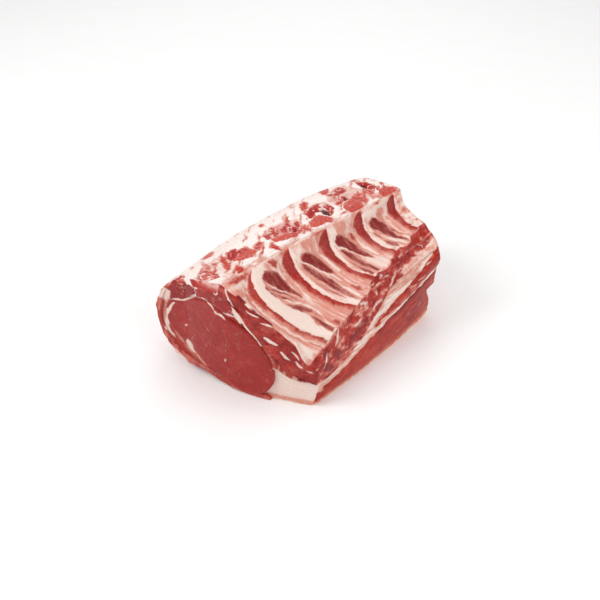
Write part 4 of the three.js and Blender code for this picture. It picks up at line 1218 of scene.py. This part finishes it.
def chine_marks(step, along):
    """Marks of the chine: deep red spongy bone with painted glints, smooth pink-red sawn faces speckled
    with painted glints, white fat with salmon streaks that all slant the same way, painted shade in its holes
    and a painted glare."""
    flat = rolled_out(step, along)
    warp = np.stack([crumple(flat, 5, 70), crumple(flat, 5, 71)], -1) * 2.0
    u, v = np.moveaxis(flat + warp, -1, 0)
    scale = np.array([step_width, roast_length])
    red = face = np.zeros(step.shape)
    for strength, corners in spongy:
        red = patches_over(red, u, v, [corners], 3.4, strength, scale)
    for strength, corners in sawn:
        face = patches_over(face, u, v, [corners], 3.4, strength, scale)
    # The dark mark here is painted shade inside the holes.
    hole = patches_over(np.zeros(step.shape), u, v, shaded_holes, 2.0, 1.0, scale)
    slant = np.stack([(u * 0.66 - v * 0.75) * 0.22, u * 0.75 + v * 0.66], -1)
    streaks = ripple(slant, 3.4, 72) + 0.5 * ripple(slant, 1.5, 73)
    near = smooth(step, 12.0, 12.9)
    glint = smooth(ripple(flat, 2.2, 74), 0.45, 0.7)
    glare = patch(u, v, np.array(glare_outline) * scale, 2)
    salmon = smooth(streaks, 0.15, 1.0) * lerp(0.42, 0.85, near) * (red < 0.3)
    face = np.maximum(face, salmon)
    red = np.maximum(red, smooth(streaks, 0.95, 1.25) * near * 0.6)
    face, red, hole = face * (1 - glare), red * (1 - glare), hole * (1 - glare)
    mottle = crumple(flat, 7, 84)
    white = 1 - smooth(np.maximum(red, face), 0.08, 0.55)
    white = white * (1 - 0.55 * near * smooth(mottle, 0.15, 0.55))
    rimmed = smooth(face, 0.25, 0.6) * (1 - smooth(face, 0.75, 1.0))
    bloody = face * (0.34 * smooth(mottle, -0.25, 0.45) + 0.22 * rimmed)
    # Speckles of painted glints on the sawn faces, strongest at the loin end.
    glint_speckles = smooth(ripple(flat, 1.8, 86), 0.15, 0.65) * smooth(face, 0.25, 0.5) * (1 - smooth(red, 0.3, 0.6))
    glint_speckles = glint_speckles * lerp(0.75, 0.28, smooth(along, 0.03, 0.07))
    ridge = smooth(step, 13.72, 14)
    white = lerp(white, np.maximum(ridge_white(along, flat) * (face < 0.9), 0), ridge)
    return {
        "deep": np.maximum(red * (1 - 0.6 * glint), bloody),
        "blush": np.maximum(np.maximum(face, red * 0.8), ridge * 0.5),
        "pale": np.clip(np.maximum(white * lerp(0.75, 1, near) + 0.6 * red * glint, glint_speckles), 0, 1),
        "dark": hole,
    }


def chine_height(step, along, marks, proud=0.0, sunk=0.0):
    """Height of the dome over the smooth form: broad lumps, the relief of its marks, and the
    lumps of the ridge."""
    flat = rolled_out(step, along)
    near = smooth(step, 12.1, 12.9)
    height = 0.9 * crumple(flat, 26, 75) + 0.6 * crumple(flat, 8, 76) * near + proud - sunk
    height += -1.3 * marks["deep"] * smooth(ripple(flat, 3.2, 77), -0.4, 0.5) + 0.9 * marks["pale"] * near
    height -= 3.0 * marks["dark"] + 1.3 * smooth(step, 13.78, 14) ** 2
    return height + ridge_lumps(14 - step, along) * smooth(step, 13.4, 13.85)


def outer_layer(step, along, height, depth, middle_step, middle_depth, rings, swell):
    """A plate on the outside: its top at a height, its skirt down to a depth, swollen a little at
    the two cuts, and rings below it that run in to one place."""
    rim = grid_rim(*step.shape)
    drop = (np.arange(1, rings + 1) / rings)[:, None]
    edges = (part.ravel()[rim] for part in (step, along, height, depth))
    edge_step, edge_along, edge_height, edge_depth = edges
    inset = edge_depth * drop - edge_height * (1 - drop)
    skirt = outer_point(edge_step + 0 * drop, edge_along + 0 * drop, inset)
    skirt[..., 1] += cut_side(edge_along) * swell * smooth(drop, 0, 0.2)
    inner = np.linspace(0.92, 0.04, 8)[:, None]
    below_step, below_along = lerp(middle_step, edge_step, inner), lerp(0.5, edge_along, inner)
    below = outer_point(below_step, below_along, lerp(middle_depth, edge_depth, inner))
    points, faces = plate(outer_point(step, along, -height), skirt, below)
    return points, faces, np.append(np.tile(edge_step, rings + len(inner)), 0)


def trimmed_edge(along):
    """How far the border between the back fat and the lean beside it wanders, in steps."""
    place = np.stack([along * roast_length, 0 * along], -1)
    return 0.1 * crumple(place, 16, 140) + 0.04 * crumple(place, 5, 141)


stations, across_dome, dome_start, dome_depth = 250, 120, 11.15, 11.0
along = np.linspace(0, 1, stations)[:, None]
step = lerp(dome_start + trimmed_edge(along), outer_steps, np.linspace(0, 1, across_dome))
along = np.broadcast_to(along, step.shape)
top_marks = chine_marks(step, along)
height = chine_height(step, along, top_marks)
points, faces, _ = outer_layer(step, along, height, dome_depth + 0 * step, 12.6, dome_depth, 14, 0.6)
side = points[step.size:]
x, z = side[:, 0] + crumple(side, 5, 78), side[:, 2] + crumple(side, 5, 79)
blobs = patch(x, z, [(-51, 114), (-44, 112), (-41, 120), (-46, 124), (-53, 121)], 2.5)
white = patch(x, z, [(-64, 118), (-53, 110), (-49, 114), (-55, 126), (-64, 124)], 3)
white = patches_over(white, x, z, [[(-46, 108), (-41, 109), (-42, 115), (-47, 114)]], 2)
flecks = smooth(ripple(side * [1, 1, 1.4], 3.2, 82), 0.1, 0.5)
white = np.maximum(white, 0.5 * (1 - flecks) * smooth(z, 118, 127))
cut = {
    "deep": np.maximum(blobs * 0.9, (x > -47) * (0.8 - 0.4 * flecks) * (1 - smooth(z, 117, 127))),
    "blush": 0.7 + 0.3 * flecks,
    "pale": np.maximum(white, cut_lines(side[:, 0], side[:, 2])),
    "dark": 0 * x,
}
marks = {mark: np.concatenate([top_marks[mark].ravel(), cut[mark]]) for mark in cut}
back_fat_finish = flesh(
    "white_back_fat", (238, 214, 200), (178, 40, 33), (208, 92, 80), (250, 240, 234),
    grain=0.14, stretch=(1, 2, 1), wet=0.12,
)
add_piece("back_fat_dome", points, faces, marks, back_fat_finish, "white_fat", "back_fat")

# Vertebrae: the backbone sawn along its length. Each shows a spongy red face that lies in the fat
# with an uneven border.
bone_places = [
    (12.95, 0.03, 13, 8), (12.95, 0.2, 14, 14), (13.15, 0.42, 14, 20), (13.3, 0.605, 16, 18),
    (13.6, 0.755, 13, 14), (13.55, 0.94, 14, 11),
]
vertebra_finish = flesh(
    "sawn_vertebra", (222, 146, 132), (178, 40, 33), (202, 92, 83), (251, 241, 236),
    grain=0.15, stretch=(1, 1, 1), wet=0.25, pits=0.25,
)
around, face_rings, side_rings, vertebra_depth, last_step = 120, 34, 8, 9, 13.97
turn = np.linspace(0, 2 * np.pi, around, endpoint=False)
reach = np.concatenate([np.linspace(0.02, 1, face_rings), np.ones(side_rings)])[:, None]
drop = np.concatenate([np.zeros(face_rings), np.linspace(0.12, 1, side_rings)])[:, None]
for i, (middle_step, middle_along, half_width, half_length) in enumerate(bone_places):
    swell = 1 + 0.14 * np.sin(2 * turn + i) + 0.09 * np.sin(3 * turn + 2 * i) + 0.05 * np.sin(7 * turn + i)
    step = middle_step + reach * swell * half_width * np.cos(turn) / step_width
    along = np.clip(middle_along + reach * swell * half_length * np.sin(turn) / roast_length, 0.003, 0.997)
    step = np.minimum(step, last_step)
    marks = chine_marks(step, along)
    rise = chine_height(step, along, marks, 0.5, 1.6 * smooth(reach, 0.75, 1.0))
    rings = outer_point(step, along, vertebra_depth * drop - rise)
    points, faces = stack_points(rings), stack_faces(*rings.shape[:2])
    marks = {mark: np.append(marks[mark].ravel(), [marks[mark][0].mean(), 0]) for mark in marks}
    add_piece(f"sawn_vertebra_{i + 1}", points, faces, marks, vertebra_finish, "sawn_bone", f"vertebra_{i + 1}")

# Rim muscle: the thin layer of lean left on the outside, round the left side and the lower left of
# the loin cut, with scraps of pale fat on it.
rim_stations, rim_across, rim_depth = 200, 130, 7.0
rim_start, rim_end = 4.55, 11.3
along = np.broadcast_to(np.linspace(0, 1, rim_stations)[:, None], (rim_stations, rim_across))
step = lerp(rim_start, rim_end + trimmed_edge(along), np.linspace(0, 1, rim_across))
flat = rolled_out(step, along)
height = 0.6 * crumple(flat, 22, 100) + 0.35 * crumple(flat * [1, 0.35], 7, 101)
height -= 1.2 * (1 - smooth(step, rim_start, 4.9)) + 1.5 * smooth(step, 11.0, rim_end)
near_cut = np.exp(-along * roast_length / 16)
height += near_cut * (3.2 * np.exp(-((step - 6.95) / 0.2) ** 2) - 2.4 * np.exp(-((step - 6.45) / 0.25) ** 2))
height += near_cut * (1.6 * np.exp(-((step - 9.9) / 0.15) ** 2) + 1.2 * np.exp(-((step - 5.5) / 0.16) ** 2))
height += near_cut * (1.5 * np.exp(-((step - 7.7) / 0.13) ** 2) - 1.3 * np.exp(-((step - 7.35) / 0.14) ** 2))
height += near_cut * 1.3 * crumple(flat, 7, 108)
narrow = lerp(1.0, 0.62, smooth(step, 8.4, 9.4)) * rim_depth
points, faces, side_step_at = outer_layer(step, along, height, narrow, 7.9, rim_depth, 12, 0.5)
side = points[step.size:]
patches = smooth(crumple(flat * [1, 0.5], 34, 102), 0.1, 0.4)
scraps = smooth(crumple(flat, 12, 103), 0.35, 0.6)
warp = crumple(side, 5, 104)
from_middle = np.linalg.norm(side[:-1] - [-10, 0, 58], axis=1)
lines = np.append(ripple(np.stack([side_step_at[:-1] * 6, from_middle], -1), 1.9, 107), 0)
white_scrap = [(-90, 26), (-72, 8), (-66, 10), (-72, 16), (-86, 26)]
white = patches_over(cut_lines(side[:, 0], side[:, 2]), side[:, 0] + warp, side[:, 2], [white_scrap], 2.5, 0.8)
cut_pale = np.maximum(white, 0.3 * smooth(lines, 0.5, 0.9))
top_deep = 0.5 * smooth(crumple(flat * [1, 0.3], 15, 106), 0.1, 0.6)
marks = {
    "pale": np.concatenate([np.maximum(patches * 0.9, scraps).ravel(), cut_pale]),
    "blush": np.concatenate([(0.55 + 0 * patches).ravel(), smooth(lines, -0.5, 0.7)]),
    "deep": np.concatenate([top_deep.ravel(), 0.4 * smooth(-lines, 0.3, 0.8)]),
}
rim_finish = flesh(
    "rim_lean", (186, 80, 69), (154, 52, 45), (206, 116, 104), (240, 217, 203),
    grain=0.3, stretch=(1, 7, 1), wet=0.2,
)
add_piece("rim_of_lean", points, faces, marks, rim_finish, "outer_lean", "rim_muscle")

# Cap muscles: the two dark red layers on the right side. The big one runs the whole length over
# the fat cover, and the upper one starts half way. Their fibres run along the roast.
cap_corners = np.array([
    [[84, 11.5], [79, 40], [66, 55]], [[82, 9], [64, 24], [38, 32]], [[80, 6], [40, 12], [4, 12]],
    [[79, 3.2], [30, 3.2], [-10, 3.2]],
], float)
upper_corners = np.array([[[84, 53], [66, 88]], [[78, 49], [42, 64]], [[78, 47], [30, 44]]], float)
cap_rings = 22


def cap_layer(corners, low, top, start, end, shares, around, bulge, seed):
    """A layer as rings: up the outside from its low to its top step, with a bulge between them,
    and back through its inner corners. Each end face is drawn in from its ring."""
    along = np.linspace(start, end, shares)
    low, top = low(along), top(along)
    up = np.linspace(0, 1, around)
    step = lerp(low[:, None], top[:, None], up)
    station = np.broadcast_to(along[:, None], step.shape)
    flat = np.stack([step * side_step_width, station * roast_length], -1)
    ragged = crumple(flat * [0, 1], 14, seed + 3) + 0.5 * crumple(flat * [0, 1], 5, seed + 4)
    step = step - 0.055 * ragged * smooth(up, 0.55, 1)
    height = bulge * np.sqrt(np.sin(np.pi * up)) + 0.7 * crumple(flat * [1, 0.4], 16, seed) * (up > 0)
    outside = outer_point(step, station, -height)[..., [0, 2]]
    way = np.linspace(0, 1, 30)[1:-1] * (len(corners) + 1)
    share = (along - start) / (end - start) if corners.shape[1] == 2 else along
    inner = through_corners(corners, share[:, None], np.arange(len(corners)) + 0.0)
    path = np.concatenate([outside[:, -1:], inner, outside[:, :1]], 1)
    number = np.minimum(way.astype(int), len(corners))
    inside = lerp(path[:, number], path[:, number + 1], (way - number)[None, :, None])
    section = np.concatenate([outside, inside], 1)
    ends = cap_shares(cap_rings)
    rings = with_ends(section, along[:, None], ends, start, end)
    stations = np.concatenate([np.full(cap_rings, start), along, np.full(cap_rings, end)])[:, None]
    edge = np.concatenate([ends[::-1], 0 * along, ends])[:, None]
    rings[..., 1] += 3.4 * np.where(stations >= end, 1, 0) * (1 - (1 - np.clip(edge / 0.3, 0, 1)) ** 2)
    rings = notched(rings, stations + 0 * rings[..., 0])
    on_side = np.zeros(rings.shape[:2])
    on_side[cap_rings:-cap_rings, :around] = 1
    points, faces = stack_points(rings), stack_faces(*rings.shape[:2])
    on_side = np.append(on_side.ravel(), [0, 0])
    fibres = ripple(points * [1, 0.22, 1], 3.0, seed + 1) + 0.5 * ripple(points * [1, 0.25, 1], 1.3, seed + 2)
    relief = 0.4 * crumple(points * [1, 0.5, 1], 7, seed + 5) + 0.25 * fibres
    return raised(points, faces, relief * lerp(0.5, 1, on_side)), faces, fibres


def cap_low(along):
    return side_step(along, 0 * along + 3.2)


def cap_top(along):
    steps = [2.32, 2.14, 1.97, 1.8, 1.64, 1.58, 1.58, 1.58, 1.6, 1.62, 1.66]
    return np.interp(along, np.linspace(0, 1, len(steps)), steps)


def upper_low(along):
    return np.interp(along, [0.4, 0.5, 0.6, 0.9, 1], [1.3, 1.4, 1.45, 1.48, 1.52])


def upper_top(along):
    places = [0.4, 0.5, 0.6, 0.7, 0.8, 0.87, 0.92, 1]
    full = np.interp(along, places, [1.1, 1.1, 1.14, 1.1, 1.02, 0.9, 0.82, 0.7])
    return lerp(upper_low(along) - 0.04, full, smooth(along, 0.44, 0.56) ** 0.6)


cap_finish = flesh(
    "cap_lean_side", (177, 61, 50), (148, 37, 32), (214, 108, 88), (236, 192, 172),
    grain=0.28, flecks=0.1, stretch=(1, 9, 1), wet=0.08,
)
points, faces, fibres = cap_layer(cap_corners, cap_low, cap_top, wedge_set_back, 0.988, 210, 60, 1.8, 110)
x, z = points[:, 0], points[:, 2]
dark = smooth(crumple(points * [1, 0.5, 1], 20, 112), 0.0, 0.6)
along = share_along(points)
top_edge = through_corners(outer_side, np.clip(along, 0, 1), cap_top(along))[..., 1] - z
places = [0, 0.42, 0.5, 0.56, 0.64, 0.68, 0.78, 0.86, 1]
dark_edge = np.interp(along, places, [0.1, 0.2, 0.9, 0.3, 0.8, 0.9, 1, 0.8, 0.3])
dark = np.maximum(dark * 0.6, smooth(-top_edge, -11, -2) * dark_edge)
fringe = (1 - smooth(z + 1.8 * crumple(points, 8, 113), 5, 8.5 + 2.5 * smooth(along, 0.35, 0.6))) * (x > 60)
marks = {
    "deep": np.clip(dark - 0.25 * fibres, 0, 1) * (1 - fringe),
    "blush": np.maximum(fringe, 0.5 * smooth(fibres, 0.4, 1.2)),
    "pale": np.maximum(0.55 * smooth(ripple(points * [1, 0.12, 1], 2.6, 114), 0.6, 0.85), 0.25 * fringe),
}
add_piece("big_cap_muscle", points, faces, marks, cap_finish, "cap_lean", "cap_lean")
points, faces, fibres = cap_layer(upper_corners, upper_low, upper_top, 0.45, 0.996, 130, 26, 1.6, 120)
dark = smooth(crumple(points * [1, 0.4, 1], 12, 122), -0.1, 0.5)
fat_threads = ripple(points * [1, 0.1, 1], 1.8, 124) + 0.4 * ripple(points * [1, 0.2, 1], 5, 125)
marks = {
    "deep": np.clip(0.6 * dark - 0.2 * fibres, 0, 1),
    "blush": 0.7 * smooth(ripple(points * [1, 0.16, 1], 3, 123), -0.2, 0.5),
    "pale": 0.75 * smooth(fat_threads, 0.2, 0.7),
}
add_piece("upper_cap_muscle", points, faces, marks, cap_finish, "cap_lean", "cap_lean_upper")

# Fat cover: the thin outer fat on which the roast lies. Its trimmed edge shows as a ragged orange
# fringe along the bottom right and as a pale rim under the wedge.
cover_stations, cover_across, cover_rings, cover_thickness = 260, 90, 6, 2.6
along = np.linspace(0.004, 1, cover_stations)[:, None]
ragged = crumple(np.concatenate([along * roast_length, 0 * along], 1), 9, 130)[:, None]
top_step = 2.83 + 0.05 * ragged
share = np.linspace(0, 1, cover_across)
step = top_step + (5.5 - top_step) * share ** 1.6
flat = rolled_out(step, along)
lip = (1 - smooth(step, 3.05, 3.5)) * (1.1 + 0.9 * crumple(flat, 7, 131))
outer = outer_point(step, along + 0 * step, -lip)[..., [0, 2]]
inner = outer_point(step, along + 0 * step, cover_thickness + 0 * step)[..., [0, 2]]
section = np.concatenate([outer, inner[:, ::-1]], 1)
front = wedge_front(section[0])
rings = with_ends(section, front + (1 - front) * along, cap_shares(cover_rings))
stations = np.concatenate([np.zeros(cover_rings), along[:, 0], np.ones(cover_rings)])
rings = notched(rings, stations[:, None] + 0 * rings[..., 0])
points, faces = stack_points(rings), stack_faces(*rings.shape[:2])
marks = {
    "deep": 0.55 * smooth(crumple(points, 12, 132), 0.1, 0.6),
    "blush": smooth(crumple(points * [1, 0.4, 1], 10, 133), -0.4, 0.4) * (points[:, 0] > 66),
    "pale": smooth(crumple(points, 15, 134), 0.1, 0.5) * (points[:, 0] < 70),
}
cover_finish = flesh(
    "outer_fat_cover", (234, 192, 160), (200, 92, 66), (226, 128, 88), (240, 216, 196),
    grain=0.15, stretch=(1, 2, 1), wet=0.15,
)
add_piece("fat_cover_sheet", points, faces, marks, cover_finish, "outer_fat", "fat_cover")

# Ground, light and camera: a plain pale floor under a soft even light, seen as in the photograph.
floor_mesh = bpy.data.meshes.new("floor")
floor_mesh.from_pydata([(-6, -6, 0), (6, -6, 0), (6, 6, 0), (-6, 6, 0)], [], [(0, 1, 2, 3)])
floor = bpy.data.objects.new("floor", floor_mesh)
bpy.context.scene.collection.objects.link(floor)
paper = Finish("white_paper")
grain = paper.noise(60, 3, 0.5)
white = paper.mix(grain, tone(249, 249, 248, 0), tone(252, 252, 252, 0))
paper.feed(Base_Color=white, Roughness=0.75 + grain * 0.1)
floor_mesh.materials.append(paper.material)
floor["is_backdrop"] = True

world = bpy.data.worlds.new("studio")
world.use_nodes = True
world.node_tree.nodes["Background"].inputs["Color"].default_value = (1, 1, 1, 1)
world.node_tree.nodes["Background"].inputs["Strength"].default_value = 0.6
bpy.context.scene.world = world


def soft_box(name, place, aim, size, watts):
    """A square area light at a place, turned to its aim."""
    light = bpy.data.lights.new(name, "AREA")
    light.size, light.energy = size, watts
    lamp = bpy.data.objects.new(name, light)
    lamp.location = place
    lamp.rotation_euler = (Vector(aim) - Vector(place)).to_track_quat("-Z", "Y").to_euler()
    bpy.context.scene.collection.objects.link(lamp)


soft_box("key", (-0.9, -1.3, 1.5), (0, 0, 0.05), 1.1, 17)
soft_box("fill", (1.5, -0.1, 0.9), (0, 0.03, 0.05), 1.4, 7.8)
soft_box("top", (0.1, 0.5, 1.9), (0, 0, 0.05), 1.2, 8)
soft_box("backdrop", (-1.1, 1.4, 1.2), (-1.1, 1.4, 0), 1.4, 4)

azimuth, elevation, distance = np.radians(40), np.radians(34), 0.94
aim = np.array([frame_shift[0], frame_shift[1], 60.0]) / 1000
back = np.array([np.sin(azimuth) * np.cos(elevation), -np.cos(azimuth) * np.cos(elevation), np.sin(elevation)])
camera = bpy.data.objects.new("camera", bpy.data.cameras.new("camera"))
camera.data.lens, camera.data.sensor_width = 51, 36
camera.location = aim + back * distance
camera.rotation_euler = Vector(back).to_track_quat("Z", "Y").to_euler()
bpy.context.scene.collection.objects.link(camera)
bpy.context.scene.camera = camera
bpy.context.scene.view_settings.view_transform = "Standard"

low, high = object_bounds()
